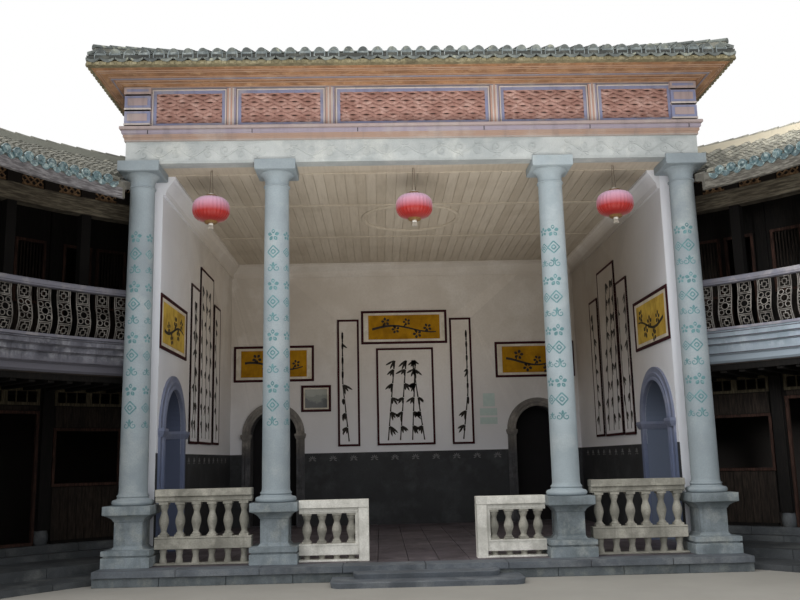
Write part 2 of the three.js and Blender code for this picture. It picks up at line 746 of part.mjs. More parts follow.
function wingFloor() {
  const { edge, edgeTop, step, inner, innerTop } = WALKWAY;
  const profile = [
    [edge, 0],
    [REAR.inner, 0],
    [REAR.inner, FLOOR_Z],
    [PLINTH.outer, FLOOR_Z],
    [PLINTH.outer, PLINTH.top],
    [PLINTH.inner, PLINTH.top],
    [PLINTH.inner, innerTop],
    [inner, innerTop],
    [inner, FLOOR_Z],
    [step, FLOOR_Z],
    [step, edgeTop],
    [edge, edgeTop],
  ];
  const floor = cut(ringSweep(profile, WING_ANGLES), block(-FAR, PLATFORM.halfX + GAP, -FAR, FAR, -10, 600));
  return join(floor, postBases(POST_BASE_RADIUS, PLINTH.top - 1));
}

// Round stone bases under the ground-floor posts
function postBases(radius, z0) {
  const { top, baseTop } = PLINTH;
  const middle = (top + baseTop) / 2;
  const profile = [[0, z0], [radius - 20, z0], [radius, middle], [radius - 25, baseTop], [0, baseTop]];
  return onRing(FRONT_R, () => turned(profile, 12));
}

// One piece at each post line of the ring, made at the ring's centre line and turned into place
function onRing(r, make) {
  return [0, 1, 2].map((i) => {
    const angle = THREE.MathUtils.degToRad(FIRST_POST + i * BAY);
    return make().translate(0, r, 0).rotateZ(-angle).translate(0, RING_Y, 0);
  });
}

function postsOnRing(r, width, z0, z1) {
  return onRing(r, () => block(-width / 2, width / 2, -width / 2, width / 2, z0, z1));
}

function halfAngle(r, width) {
  return THREE.MathUtils.radToDeg(width / 2 / r);
}

// Timber front of the ground-floor rooms: posts, boarding, transom lights, and in each bay an
// open doorway or a window
const GROUND_FRONT = { depth: 110, post: 200, transom: [2960, 3210], window: [1500, 2500], doorTop: 2800 };

function wingGroundFront() {
  const { depth, post, transom, window, doorTop } = GROUND_FRONT;
  const wall = clearOfHall(ringBlock(FRONT_R, FRONT_R + depth, PLINTH.top, GALLERY.bottom, WING_ANGLES));
  const hole = (a0, a1, [low, high]) => {
    return ringBlock(FRONT_R - 50, FRONT_R + depth + 50, low, high, spread(a0, a1, 4));
  };
  const mullion = halfAngle(FRONT_R, 50);
  const half = BAY / 2 - halfAngle(FRONT_R, 330);
  const holes = [-1, 0, 1].flatMap((i) => {
    const middle = FIRST_POST + (i + 0.5) * BAY;
    const lower = i === 0 ? [PLINTH.top - 10, doorTop] : window;
    return [
      hole(middle - half, middle - mullion, transom),
      hole(middle + mullion, middle + half, transom),
      hole(middle - half, middle + half, lower),
    ];
  });
  const front = join(cut(wall, holes), postsOnRing(FRONT_R, post, PLINTH.top, GALLERY.bottom));
  const room = block(-200, 200, -200, 200, 0, PLINTH.baseTop + GAP);
  return cut(front, onRing(FRONT_R, () => room.clone()));
}

// Gallery floor of the upper storey with its moulded fascia
function wingGallery() {
  const { edge, bottom, top } = GALLERY;
  const profile = [
    [edge + 170, bottom],
    [REAR.inner, bottom],
    [REAR.inner, top],
    [edge, top],
    [edge - 40, top - 40],
    [edge - 40, top - 130],
    [edge + 10, top - 150],
    [edge + 10, top - 240],
    [edge + 60, top - 260],
    [edge + 60, top - 400],
    [edge + 110, top - 430],
    [edge + 110, bottom + 60],
  ];
  return clearOfHall(ringSweep(profile, WING_ANGLES));
}

// Handrail on bowed cast-iron panels
const IRON_PANEL = { width: 270, pitch: 340, half: 15, firstAngle: 39.9 };
const IRON_BOW = [[40, 0], [0, 0.07], [-55, 0.21], [-70, 0.36], [-45, 0.52], [0, 0.69], [20, 0.86], [10, 1]];
const HANDRAIL = { half: 70, height: 110 };

function wingBalustrade() {
  const { edge, top, handrail } = GALLERY;
  const railBottom = handrail - HANDRAIL.height;
  const rail = ringBlock(edge - HANDRAIL.half, edge + HANDRAIL.half, railBottom, handrail, WING_ANGLES);
  const sill = ringBlock(edge - 30, edge + 60, top, top + 60, WING_ANGLES);
  const height = railBottom + 1 - top;
  const face = (side) => IRON_BOW.map(([bow, share]) => {
    return [edge + bow + side * IRON_PANEL.half, top + share * height];
  });
  const profile = [...face(-1), ...face(1).reverse()];
  const half = halfAngle(edge, IRON_PANEL.width);
  const step = THREE.MathUtils.radToDeg(IRON_PANEL.pitch / edge);
  const panels = [];
  for (let angle = IRON_PANEL.firstAngle; angle < WING_END - step; angle += step) {
    panels.push(ringSweep(profile, [angle - half, angle + half]));
  }
  return clearOfHall(join(rail, sill, panels));
}

// Gallery posts, the ring beam that they carry, and the fretwork band over it
const FRAME = { beamHalf: 110, bandInner: -40, bandOuter: 20, post: 170, corbelInner: -130, corbelTop: 230 };
const CORBEL_HALF_ANGLE = 0.85;

function wingFrame() {
  const { beamHalf, bandInner, bandOuter, post, corbelInner, corbelTop } = FRAME;
  const r = GALLERY_POST_R;
  const bandTop = roofUnderside(r + bandInner) - 2 * GAP;
  const beam = ringBlock(r - beamHalf, r + beamHalf, BEAM.bottom, BEAM.top, WING_ANGLES);
  const band = ringBlock(r + bandInner, r + bandOuter, BEAM.top - 1, bandTop, WING_ANGLES);
  const posts = postsOnRing(r, post, GALLERY.top, BEAM.bottom + 1);
  const corbels = [];
  for (let angle = FIRST_POST - BAY / 2; angle < WING_END; angle += BAY / 2) {
    const sides = [angle - CORBEL_HALF_ANGLE, angle + CORBEL_HALF_ANGLE];
    corbels.push(ringBlock(r + corbelInner, r + bandInner + 10, BEAM.top - 1, BEAM.top + corbelTop, sides));
  }
  return clearOfHall(join(beam, band, posts, corbels));
}

function roofUnderside(r) {
  const { eaveR, eaveZ, ridgeR, ridgeZ, thickness } = WING_ROOF;
  const slope = (ridgeZ - eaveZ) / (ridgeR - eaveR);
  const run = r <= ridgeR ? r - eaveR : 2 * ridgeR - eaveR - r;
  return eaveZ + slope * run - thickness;
}

// Boarded front of the upper rooms, with a door and a slatted window in each bay
const UPPER_FRONT = { depth: 90, post: 200, sill: 900, head: 2050, threshold: 60 };

function wingUpperFront() {
  const { depth, post, sill, head, threshold } = UPPER_FRONT;
  const z0 = GALLERY.top;
  const outer = FRONT_R + depth;
  const profile = [
    [FRONT_R, z0],
    [outer, z0],
    [outer, roofUnderside(outer) - GAP],
    [FRONT_R, roofUnderside(FRONT_R) - GAP],
  ];
  const wall = clearOfHall(ringSweep(profile, WING_ANGLES));
  const hole = (a0, a1, low) => ringBlock(FRONT_R - 50, outer + 50, z0 + low, z0 + head, spread(a0, a1, 2));
  const holes = [-1, 0, 1].flatMap((i) => {
    const middle = FIRST_POST + (i + 0.5) * BAY;
    return [hole(middle - 3.4, middle - 0.3, sill), hole(middle + 0.5, middle + 3.4, threshold)];
  });
  const posts = postsOnRing(FRONT_R + 20, post, z0, roofUnderside(FRONT_R - post) - GAP);
  return join(cut(wall, holes), posts);
}

// Earth wall at the back of the rooms and the plain party wall at the open end
function wingMasonry() {
  const top = (r) => roofUnderside(r) - 2 * GAP;
  const inner = REAR.inner + GAP;
  const outer = REAR.outer;
  const rear = ringSweep([[inner, 0], [outer, 0], [outer, top(outer)], [inner, top(inner)]], WING_ANGLES);
  const { ridgeR } = WING_ROOF;
  const { edge } = GALLERY;
  const gable = [[edge, 0], [outer, 0], [outer, top(outer)], [ridgeR, top(ridgeR)], [edge, top(edge)]];
  const end = ringSweep(gable, [WING_END + 0.005, PARTY_WALL_END]);
  const corner = ringBlock(inner + 20, outer - 20, 0, top(outer) - 20, [WING_END - 0.5, WING_END + 0.5]);
  return clearOfHall(join(rear, end, corner), PLATFORM.halfX);
}

// Tiled roof of the ring with its ridge cap, falling to the courtyard and to the back
function wingRoof() {
  const { eaveR, eaveZ, ridgeR, ridgeZ, rearR, thickness, drop } = WING_ROOF;
  const { half, height } = WING_RIDGE;
  const surface = (r) => roofUnderside(r) + thickness;
  const profile = [
    [eaveR, eaveZ - thickness - drop],
    [eaveR + 60, eaveZ - thickness - drop],
    [eaveR + 70, roofUnderside(eaveR + 70)],
    [ridgeR, ridgeZ - thickness],
    [rearR, surface(rearR) - thickness],
    [rearR, surface(rearR)],
    [ridgeR + half, surface(ridgeR + half)],
    [ridgeR + half * 0.6, ridgeZ + height],
    [ridgeR - half * 0.6, ridgeZ + height],
    [ridgeR - half, surface(ridgeR - half)],
    [eaveR, eaveZ],
  ];
  return clearOfHall(ringSweep(profile, WHOLE_WING));
}

function addWings() {
  const pieces = [
    ["floor", wingFloor(), stone],
    ["ground_front", wingGroundFront(), darkTimber],
    ["gallery_floor", wingGallery(), paleTimber],
    ["gallery_rail", wingBalustrade(), castIron],
    ["gallery_frame", wingFrame(), paleTimber],
    ["upper_front", wingUpperFront(), darkTimber],
    ["earth_wall", wingMasonry(), rammedEarth],
    ["roof", wingRoof(), roofTile],
  ];
  for (const [name, right, finish] of pieces) {
    add("ring_" + name + "_right", right, finish);
    add("ring_" + name + "_left", mirrored(right), finish);
  }
}

addPlatform();
addSteps();
addColumns();
addBalustrades();
addWalls();
addSurrounds();
addLintels();
addStringCornice();
addFrieze();
addEaveCornice();
addHallRoof();
addCeiling();
addBoards();
addLanterns();
addWings();

export default hall;
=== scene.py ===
# Ancestral hall of a round tulou, with the nearest bays of the inner ring on both sides.
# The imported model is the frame: metres, +Z up, the courtyard towards -Y. Every piece here stands
# for a piece of the frame or is fixed to one, and the sections follow the building upwards.
import math
import random

import bmesh
import bpy
from mathutils import Matrix, Vector


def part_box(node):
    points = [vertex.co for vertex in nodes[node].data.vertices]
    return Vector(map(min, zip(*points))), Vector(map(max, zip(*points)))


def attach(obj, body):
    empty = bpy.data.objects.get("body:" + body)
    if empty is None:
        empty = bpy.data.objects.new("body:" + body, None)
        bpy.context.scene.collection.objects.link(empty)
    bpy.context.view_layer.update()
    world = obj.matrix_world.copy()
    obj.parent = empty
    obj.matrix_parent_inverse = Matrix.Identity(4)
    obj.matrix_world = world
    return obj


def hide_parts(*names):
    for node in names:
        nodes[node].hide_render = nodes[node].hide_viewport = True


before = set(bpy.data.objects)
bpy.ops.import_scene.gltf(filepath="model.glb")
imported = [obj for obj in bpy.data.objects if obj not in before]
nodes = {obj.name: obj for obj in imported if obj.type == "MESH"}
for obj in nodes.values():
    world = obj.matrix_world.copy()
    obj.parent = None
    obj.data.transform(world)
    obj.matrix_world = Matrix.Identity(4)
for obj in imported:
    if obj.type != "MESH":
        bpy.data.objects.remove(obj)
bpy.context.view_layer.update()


# Camera
# At the photograph's viewing angle, as solved from the hall's uprights and levels: at head height
# in the courtyard, 15 m in front of the columns and a little left of the hall's middle.
CAMERA_AT = Vector((-0.6674, -14.6922, 1.8359))
CAMERA_YAW, CAMERA_PITCH, CAMERA_ROLL = 0.0258, 0.1792, -0.0222
SENSOR_WIDTH, FOCAL_LENGTH = 36, 39.46

ahead = Vector((
    math.sin(CAMERA_YAW) * math.cos(CAMERA_PITCH),
    math.cos(CAMERA_YAW) * math.cos(CAMERA_PITCH),
    math.sin(CAMERA_PITCH),
))
level_right = Vector((math.cos(CAMERA_YAW), -math.sin(CAMERA_YAW), 0))
level_up = level_right.cross(ahead)
right = level_right * math.cos(CAMERA_ROLL) + level_up * math.sin(CAMERA_ROLL)
up = level_up * math.cos(CAMERA_ROLL) - level_right * math.sin(CAMERA_ROLL)

camera = bpy.data.objects.new("camera", bpy.data.cameras.new("camera"))
camera.data.sensor_width = SENSOR_WIDTH
camera.data.lens = FOCAL_LENGTH
camera.data.clip_end = 200
camera.matrix_world = Matrix((right, up, -ahead)).transposed().to_4x4()
camera.location = CAMERA_AT
bpy.context.scene.collection.objects.link(camera)
bpy.context.scene.camera = camera
bpy.context.scene.view_settings.view_transform = "Standard"


# Studio floor
# A plain pale floor of painted board, which isn't part of the building. It is even and matt, so
# that it throws soft light up under the eaves.
def linear(colour):
    """An sRGB hex colour as the linear values that a shader takes."""
    parts = [int(colour[i:i + 2], 16) / 255 for i in (1, 3, 5)]
    return tuple(c / 12.92 if c <= 0.04045 else ((c + 0.055) / 1.055) ** 2.4 for c in parts) + (1.0,)


def source(value):
    """The socket that a link starts from: a socket itself, or a node's first live output."""
    if isinstance(value, bpy.types.Node):
        return next(s for s in value.outputs if s.enabled)
    return value


def put(beside, kind, **words):
    """Adds a node to the tree that beside is in, a shader's unless kind says. A word with a capital
    is an input, set or linked; any other is a setting."""
    tree = beside.id_data
    node = tree.nodes.new(kind if "Node" in kind else "ShaderNode" + kind)
    for word, value in words.items():
        if not word[0].isupper():
            setattr(node, word, value)
    sockets = {s.name: s for s in reversed(node.inputs)}
    sockets.update({s.identifier: s for s in node.inputs})
    for word, value in words.items():
        if not word[0].isupper():
            continue
        socket = sockets[word] if word in sockets else sockets[word.replace("_", " ")]
        if isinstance(value, (bpy.types.Node, bpy.types.NodeSocket)):
            tree.links.new(source(value), socket)
        else:
            socket.default_value = linear(value) if isinstance(value, str) and value[0] == "#" else value
    return node


def begin(name):
    """A new material, and the piece's own coordinates in metres, where its patterns start."""
    made = bpy.data.materials.new(name)
    made.use_nodes = True
    made.node_tree.nodes.clear()
    return made, put(made.node_tree, "TexCoord").outputs["Object"]


def close(colour, roughness, height=None, depth=0.003, **more):
    """Ends a material in its shader. height is a pattern from 0 to 1, and depth its relief in metres."""
    if height is not None:
        more["Normal"] = put(colour, "Bump", Height=height, Distance=depth)
    shader = put(colour, "BsdfPrincipled", Base_Color=colour, Roughness=roughness, **more)
    put(colour, "OutputMaterial", Surface=shader)


def noise(place, size, detail=4.0, stretch=(1, 1, 1), shift=(0, 0, 0)):
    """Cloudy noise whose blotches are about size metres across, drawn out along an axis by stretch."""
    scale = tuple(1 / (size * s) for s in stretch)
    spot = put(place, "Mapping", Vector=place, Scale=scale, Location=shift)
    return put(place, "TexNoise", Vector=spot, Scale=1.0, Detail=detail, Roughness=0.6)


def ramp(value, low, high, start=0.0, end=1.0):
    """start where value is at low or under, end where it is at high or over, even between."""
    return put(value, "MapRange", Value=value, From_Min=low, From_Max=high, To_Min=start, To_Max=end)


def blend(amount, first, second):
    """first turning into second as amount goes from 0 to 1."""
    return put(amount, "Mix", data_type="RGBA", Factor_Float=amount, A_Color=first, B_Color=second)


def mottled(name, first, second, size, roughness, low=0.0, high=1.0, detail=4.0, stretch=(1, 1, 1)):
    """A material whose colour wanders between two shades in blotches of one size."""
    made, place = begin(name)
    amount = ramp(noise(place, size, detail, stretch), low, high)
    close(blend(amount, first, second), roughness)
    return made


floor_finish = mottled("studio_floor_matt", "#97958f", "#a19f99", 1.5, 0.9, 0.3, 0.7)
FLOOR_REACH = 60.0
SQUARE = ((-1, -1), (1, -1), (1, 1), (-1, 1))
floor_mesh = bpy.data.meshes.new("studio_floor")
floor_mesh.from_pydata([(a * FLOOR_REACH, b * FLOOR_REACH, 0) for a, b in SQUARE], [], [(0, 1, 2, 3)])
floor_mesh.materials.append(floor_finish)
studio_floor = bpy.data.objects.new("studio_floor", floor_mesh)
bpy.context.scene.collection.objects.link(studio_floor)


# Studio light
# A bright even sky with one broad soft lamp high on the courtyard side. Four soft fills stand for
# the light that pale walls pass on: in the hall, on the right wing and its roof, under the eaves.
world = bpy.data.worlds.new("soft_sky")
world.use_nodes = True
world.node_tree.nodes["Background"].inputs["Color"].default_value = linear("#ffffff")
world.node_tree.nodes["Background"].inputs["Strength"].default_value = 1.0
bpy.context.scene.world = world


def lamp(name, kind, place, target, energy, colour, **settings):
    light = bpy.data.lights.new(name, kind)
    light.energy = energy
    light.color = colour
    for word, value in settings.items():
        setattr(light, word, value)
    holder = bpy.data.objects.new(name, light)
    holder.location = place
    holder.rotation_euler = (Vector(target) - Vector(place)).to_track_quat("-Z", "Y").to_euler()
    holder.visible_camera = False
    bpy.context.scene.collection.objects.link(holder)


lamp("broad_lamp", "SUN", (-16, -9, 22), (0, 0, 3), 0.9, (1, 0.97, 0.92), angle=math.radians(40))
for name, place, target, watts, colour, size, spread in (
    ("hall_fill", (1.9, 3.0, 1.2), (-0.9, 4.6, 6.6), 42, (1, 0.95, 0.88), 3.0, 115),
    ("right_wing_fill", (4.8, -9.5, 5.0), (8.8, -1.2, 3.7), 175, (0.95, 0.98, 1), 2.5, 48),
    ("right_roof_fill", (5.8, -11.0, 14.0), (8.8, 0.4, 7.2), 170, (1, 0.95, 0.87), 2.0, 28),
    ("courtyard_bounce", (0, -5.6, 0.5), (0, -1.4, 8.0), 440, (1, 0.97, 0.93), 8.0, 100),
):
    lamp(name, "AREA", place, target, watts, colour, size=size, spread=math.radians(spread))


# Platform and steps
# Long dressed granite slabs on a rubble core, the edge slabs oversailing their base by a hand's
# width. The hall is paved with square dark bricks, rubbed flat and laid dry with fine joints.
class Piece:
    """The points and faces of one piece, gathered shape by shape before it becomes an object."""

    def __init__(self):
        self.mesh = bmesh.new()

    def loft(self, rings, finish=0, closed=False):
        """Skins a row of rings. Each ring is a loop of points, as many as in the next."""
        loops = [[self.mesh.verts.new(p) for p in ring] for ring in rings]
        spans = list(zip(loops, loops[1:] + loops[:1])) if closed else list(zip(loops, loops[1:]))
        faces = []
        for low, high in spans:
            sides = zip(low, low[1:] + low[:1], high[1:] + high[:1], high)
            faces += [self.mesh.faces.new(corners) for corners in sides]
        if not closed:
            faces.append(self.mesh.faces.new(loops[0][::-1]))
            faces.append(self.mesh.faces.new(loops[-1]))
        for face in faces:
            face.material_index = finish
        return faces

    def block(self, x, y, z, finish=0):
        """A squared block between the two values of each of x, y and z."""
        plan = [(x[0], y[0]), (x[1], y[0]), (x[1], y[1]), (x[0], y[1])]
        return self.loft([[(a, b, level) for a, b in plan] for level in z], finish)

    def turned(self, profile, at=(0, 0), sides=48, finish=0):
        """A turned shape from a profile of radius and height."""
        angles = [2 * math.pi * i / sides for i in range(sides)]
        return self.loft([[(at[0] + r * math.cos(a), at[1] + r * math.sin(a), z) for a in angles]
                          for r, z in profile], finish)

    def squared(self, profile, at=(0, 0), finish=0):
        """A shape of square section from a profile of half width and height."""
        return self.loft([[(at[0] + a * r, at[1] + b * r, z) for a, b in SQUARE]
                          for r, z in profile], finish)

    def become(self, name, *finishes, worn=0.0, crease=32, steps=2):
        """The finished object. worn is the width of its rounded edges in metres."""
        bmesh.ops.recalc_face_normals(self.mesh, faces=self.mesh.faces)
        mesh = bpy.data.meshes.new(name)
        self.mesh.to_mesh(mesh)
        self.mesh.free()
        for finish in finishes:
            mesh.materials.append(finish)
        mesh.shade_smooth()
        mesh.set_sharp_from_angle(angle=math.radians(crease))
        made = bpy.data.objects.new(name, mesh)
        bpy.context.scene.collection.objects.link(made)
        if worn:
            edge = made.modifiers.new("worn_edges", "BEVEL")
            edge.width = worn
            edge.segments = steps
            edge.limit_method = "ANGLE"
            edge.angle_limit = math.radians(crease)
            edge.harden_normals = True
        return made


def fit(made, slot, *stands_for):
    """Fixes a piece to the building and hides the frame nodes that it stands for. slot, the name of its
    finish, is not used.
    """
    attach(made, "root")
    if stands_for:
        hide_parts(*stands_for)
    return made


def dress(finish, *names):
    """Gives frame nodes that stay as they are their finish."""
    for name in names:
        nodes[name].data.materials.clear()
        nodes[name].data.materials.append(finish)


def mineral(place, middle, dark, light, patch=0.9, grain=0.03, streak=0.25):
    """Colour and relief of a weathered mineral surface: patches, rain streaks and fine grain."""
    clouds = noise(place, patch, 6.0)
    colour = blend(ramp(clouds, 0.38, 0.62, 0.75, 0.0), middle, dark)
    bleach_and_sheen = noise(place, patch * 0.6, 5.0, shift=(7, 3, 5))
    colour = blend(ramp(bleach_and_sheen, 0.5, 0.72), colour, light)
    runs = noise(place, patch * 0.25, 4.0, (1, 1, 9), (2, 9, 4))
    colour = blend(ramp(runs, 0.5, 0.72, 0.0, streak), colour, dark)
    specks = noise(place, grain, 2.0, shift=(1, 4, 8))
    colour = blend(ramp(specks, 0.35, 0.6, 0.28, 0.0), colour, dark)
    island = put(place, "NewGeometry").outputs["Random Per Island"]
    tone = put(place, "HueSaturation", Color=colour, Value=ramp(island, 0.0, 1.0, 0.93, 1.06))
    relief = put(place, "Math", operation="ADD", Value=specks,
                 Value_001=put(place, "Math", operation="MULTIPLY", Value=clouds, Value_001=0.8))
    return tone, relief


def weathered(name, middle, dark, light, patch, grain, streak, roughness, depth, **more):
    """A material that is the same weathered mineral surface all over."""
    made, place = begin(name)
    colour, relief = mineral(place, middle, dark, light, patch, grain, streak)
    close(colour, roughness, relief, depth, **more)
    return made


# Dressed granite: dull, faintly blue-green, with dark mica specks. The real grains are 3 to 8 mm
# across and are drawn at 20 mm so that they show.
def granite(name, middle, dark, light, patch=0.9, streak=0.25):
    made, place = begin(name)
    colour, relief = mineral(place, middle, dark, light, patch, 0.02, streak)
    close(colour, ramp(relief, 0.5, 1.2, 0.86, 0.68), relief, 0.004, IOR=1.54)
    return made


granite_slab = granite("granite_slab_trodden", "#60676f", "#43484e", "#797e82", 0.7, 0.0)
granite_riser = granite("granite_riser_stained", "#636b70", "#3d4448", "#7b807d", 0.5, 0.4)

# Rubbed dark floor brick, a little glossy where it is trodden most
floor_brick, place = begin("floor_brick_rubbed")
colour, relief = mineral(place, "#595259", "#3d383e", "#6f686e", 0.8, 0.04, 0.0)
close(colour, ramp(noise(place, 0.9), 0.35, 0.65, 0.45, 0.75), relief, 0.002)

GROUND, FLOOR = 0.0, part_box("platform")[1].z
platform_low, platform_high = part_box("platform")
SLAB_THICK = 0.1
OVERSAIL = 0.04
EDGE_SLAB_DEPTH = 0.42
SLAB_LENGTH = 1.28
JOINT = 0.006
PAVING_BRICK, PAVING_THICK = 0.5, 0.05
RISER_LENGTH = 0.8 * SLAB_LENGTH

platform = Piece()
slab_z = (FLOOR - SLAB_THICK, FLOOR)
riser_z = (GROUND, FLOOR - SLAB_THICK)


def spaced(start, end, length):
    """The two ends of each of the equal lengths that fill a run, with a joint between them."""
    count = max(1, round((end - start) / length))
    step = (end - start) / count
    return [(start + i * step + JOINT / 2, start + (i + 1) * step - JOINT / 2) for i in range(count)]


x0, x1 = platform_low.x, platform_high.x
y0, y1 = platform_low.y, platform_high.y
for run in spaced(x0, x1, SLAB_LENGTH):
    platform.block(run, (y0, y0 + EDGE_SLAB_DEPTH), slab_z)
    platform.block(run, (y1 - EDGE_SLAB_DEPTH, y1), slab_z)
for run in spaced(y0 + EDGE_SLAB_DEPTH, y1 - EDGE_SLAB_DEPTH, SLAB_LENGTH):
    platform.block((x0, x0 + EDGE_SLAB_DEPTH), run, slab_z)
    platform.block((x1 - EDGE_SLAB_DEPTH, x1), run, slab_z)
for run in spaced(x0, x1, RISER_LENGTH):
    platform.block(run, (y0 + OVERSAIL, y0 + EDGE_SLAB_DEPTH), riser_z, 1)
platform.block((x0, x1), (y0 + EDGE_SLAB_DEPTH + JOINT, y1), riser_z, 1)
for brick_x in spaced(x0 + EDGE_SLAB_DEPTH, x1 - EDGE_SLAB_DEPTH, PAVING_BRICK):
    for brick_y in spaced(y0 + EDGE_SLAB_DEPTH, y1 - EDGE_SLAB_DEPTH, PAVING_BRICK):
        platform.block(brick_x, brick_y, (FLOOR - PAVING_THICK, FLOOR), 2)
platform = platform.become("platform_slabs", granite_slab, granite_riser, floor_brick, worn=0.006, steps=1)
fit(platform, "granite", "platform")

STEP_ROUND = 0.18
steps_low, steps_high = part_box("front_steps")
LOWER_STEP = {"half": steps_high.x, "front": steps_low.y, "top": 0.085}
UPPER_STEP = {"half": 1.11, "front": -1.10, "top": steps_high.z}


def step_outline(half, front, back, sink):
    """A step's plan from its back round its two rounded front corners, drawn in by sink."""
    half, front = half - sink, front + sink
    points = [(half, back)]
    for side, start in ((1, 0), (-1, 90)):
        for i in range(9):
            angle = math.radians(start + i * 90 / 8)
            x, y = side * (half - STEP_ROUND), front + STEP_ROUND
            points.append((x + STEP_ROUND * math.cos(angle), y - STEP_ROUND * math.sin(angle)))
    return points + [(-half, back)]


steps = Piece()
for step, bottom in ((LOWER_STEP, GROUND), (UPPER_STEP, LOWER_STEP["top"] - 0.002)):
    top = step["top"]
    rings = []
    for z, sink in ((bottom, 0.012), (top - 0.012, 0.0), (top - 0.003, 0.004), (top, 0.016)):
        rings.append([(x, y, z) for x, y in step_outline(step["half"], step["front"], steps_high.y, sink)])
    steps.loft(rings)
steps = steps.become("courtyard_steps", granite_slab)
fit(steps, "granite", "front_steps")


# Pedestals
# One block of granite each, cut to a plinth of two slabs with a quirk between them, a square die
# with a shallow sunk panel on every side, a cove and a heavy square cap.
def curved(points, steps=5):
    """A smooth row of points through the given ones, in any number of dimensions."""
    ends = [points[0]] + list(points) + [points[-1]]
    out = []
    for a, b, c, d in zip(ends, ends[1:], ends[2:], ends[3:]):
        for i in range(steps):
            t = i / steps
            out.append(tuple(
                0.5 * (2 * q + (r - p) * t + (2 * p - 5 * q + 4 * r - s) * t * t
                       + (3 * q - p - 3 * r + s) * t ** 3)
                for p, q, r, s in zip(a, b, c, d)
            ))
    return out + [tuple(points[-1])]


granite_shaft = granite("granite_fine_dressed", "#98a4ab", "#808b92", "#a8b0b3", 1.3, 0.22)
# A paler copy of the same granite for the inner right column: painted light
granite_shaft_lit = granite("granite_fine_dressed_painted_lit", "#a9b6bd", "#909ca3", "#b8c1c3", 1.3, 0.22)
granite_lintel = granite("granite_lintel_washed_pale", "#bdc2c2", "#989fa1", "#cfd2ce", 1.0, 0.3)
granite_base = granite("granite_base_weathered", "#8d989f", "#5a6468", "#a5aba9", 0.45, 0.45)

COLUMN_NAMES = ["outer_left", "inner_left", "inner_right", "outer_right"]
PLINTH_HALF = 0.38
DIE_HALF = 0.225
LOWER_SLAB_TOP, UPPER_SLAB_BOTTOM, UPPER_SLAB_TOP = 0.400, 0.430, 0.507
DIE_BOTTOM, DIE_TOP = 0.555, 0.945
CAP_BOTTOM, CAP_TOP = 1.050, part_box("pedestal_inner_left")[1].z
PANEL_MARGIN, PANEL_SINK = 0.042, 0.012
QUIRK = PLINTH_HALF - 0.03
COVE_TOP = 0.352

column_axis = {}
for name in COLUMN_NAMES:
    low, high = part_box("pedestal_" + name)
    axis = ((low.x + high.x) / 2, (low.y + high.y) / 2)
    column_axis[name] = axis
    pedestal = Piece()
    pedestal.squared([(PLINTH_HALF, FLOOR), (PLINTH_HALF, LOWER_SLAB_TOP)], axis)
    pedestal.squared([(QUIRK, LOWER_SLAB_TOP), (QUIRK, UPPER_SLAB_BOTTOM)], axis)
    foot = curved([(DIE_HALF + 0.07, UPPER_SLAB_TOP), (DIE_HALF + 0.03, 0.522),
                   (DIE_HALF + 0.006, DIE_BOTTOM)], 4)
    pedestal.squared([(PLINTH_HALF, UPPER_SLAB_BOTTOM), (PLINTH_HALF, UPPER_SLAB_TOP)] + foot, axis)
    die = pedestal.squared([(DIE_HALF, DIE_BOTTOM), (DIE_HALF, DIE_TOP)], axis)[:4]
    bmesh.ops.inset_individual(pedestal.mesh, faces=die, thickness=PANEL_MARGIN, use_even_offset=True)
    bmesh.ops.inset_individual(pedestal.mesh, faces=die, thickness=PANEL_SINK, depth=-PANEL_SINK)
    cove = curved([(DIE_HALF + 0.012, DIE_TOP), (DIE_HALF + 0.035, 0.985), (DIE_HALF + 0.09, 1.028),
                   (COVE_TOP, 1.042)], 4)
    pedestal.squared(cove + [(COVE_TOP, CAP_BOTTOM)], axis)
    pedestal.squared([(PLINTH_HALF - 0.006, CAP_BOTTOM), (PLINTH_HALF, CAP_BOTTOM + 0.012),
                      (PLINTH_HALF, CAP_TOP)], axis)
    pedestal = pedestal.become("pedestal_block_" + name, granite_base, worn=0.006)
    fit(pedestal, "granite", "pedestal_" + name)


# Columns
# A turned granite base and a shaft of one stone with a slight swelling, under an astragal, a
# plain bell and a square abacus. Down each shaft runs a row of cut and teal-tinted ornament.
TORUS_RADIUS, TORUS_TOP = 0.335, 1.283
RING_RADIUS, RING_BOTTOM, RING_TOP = 0.258, 1.313, 1.360
SHAFT_FOOT_RADIUS, SHAFT_NECK_RADIUS = 0.228, 0.206
SHAFT_FOOT, ASTRAGAL = 1.42, 6.50
BELL_BOTTOM, ABACUS_BOTTOM = 6.56, 6.742
ABACUS_HALF = 0.349
SWELLING = 0.004


def shaft_radius(z):
    share = (z - SHAFT_FOOT) / (ASTRAGAL - SHAFT_FOOT)
    swell = SWELLING * math.sin(math.pi * share)
    return SHAFT_FOOT_RADIUS + (SHAFT_NECK_RADIUS - SHAFT_FOOT_RADIUS) * share + swell


def half_round(radius, low, high, steps=8):
    """The profile of a half-round moulding that stands out to radius between two heights."""
    middle, reach = (low + high) / 2, (high - low) / 2
    angles = [math.pi * (i / steps - 0.5) for i in range(steps + 1)]
    return [(radius - reach + reach * math.cos(a), middle + reach * math.sin(a)) for a in angles]


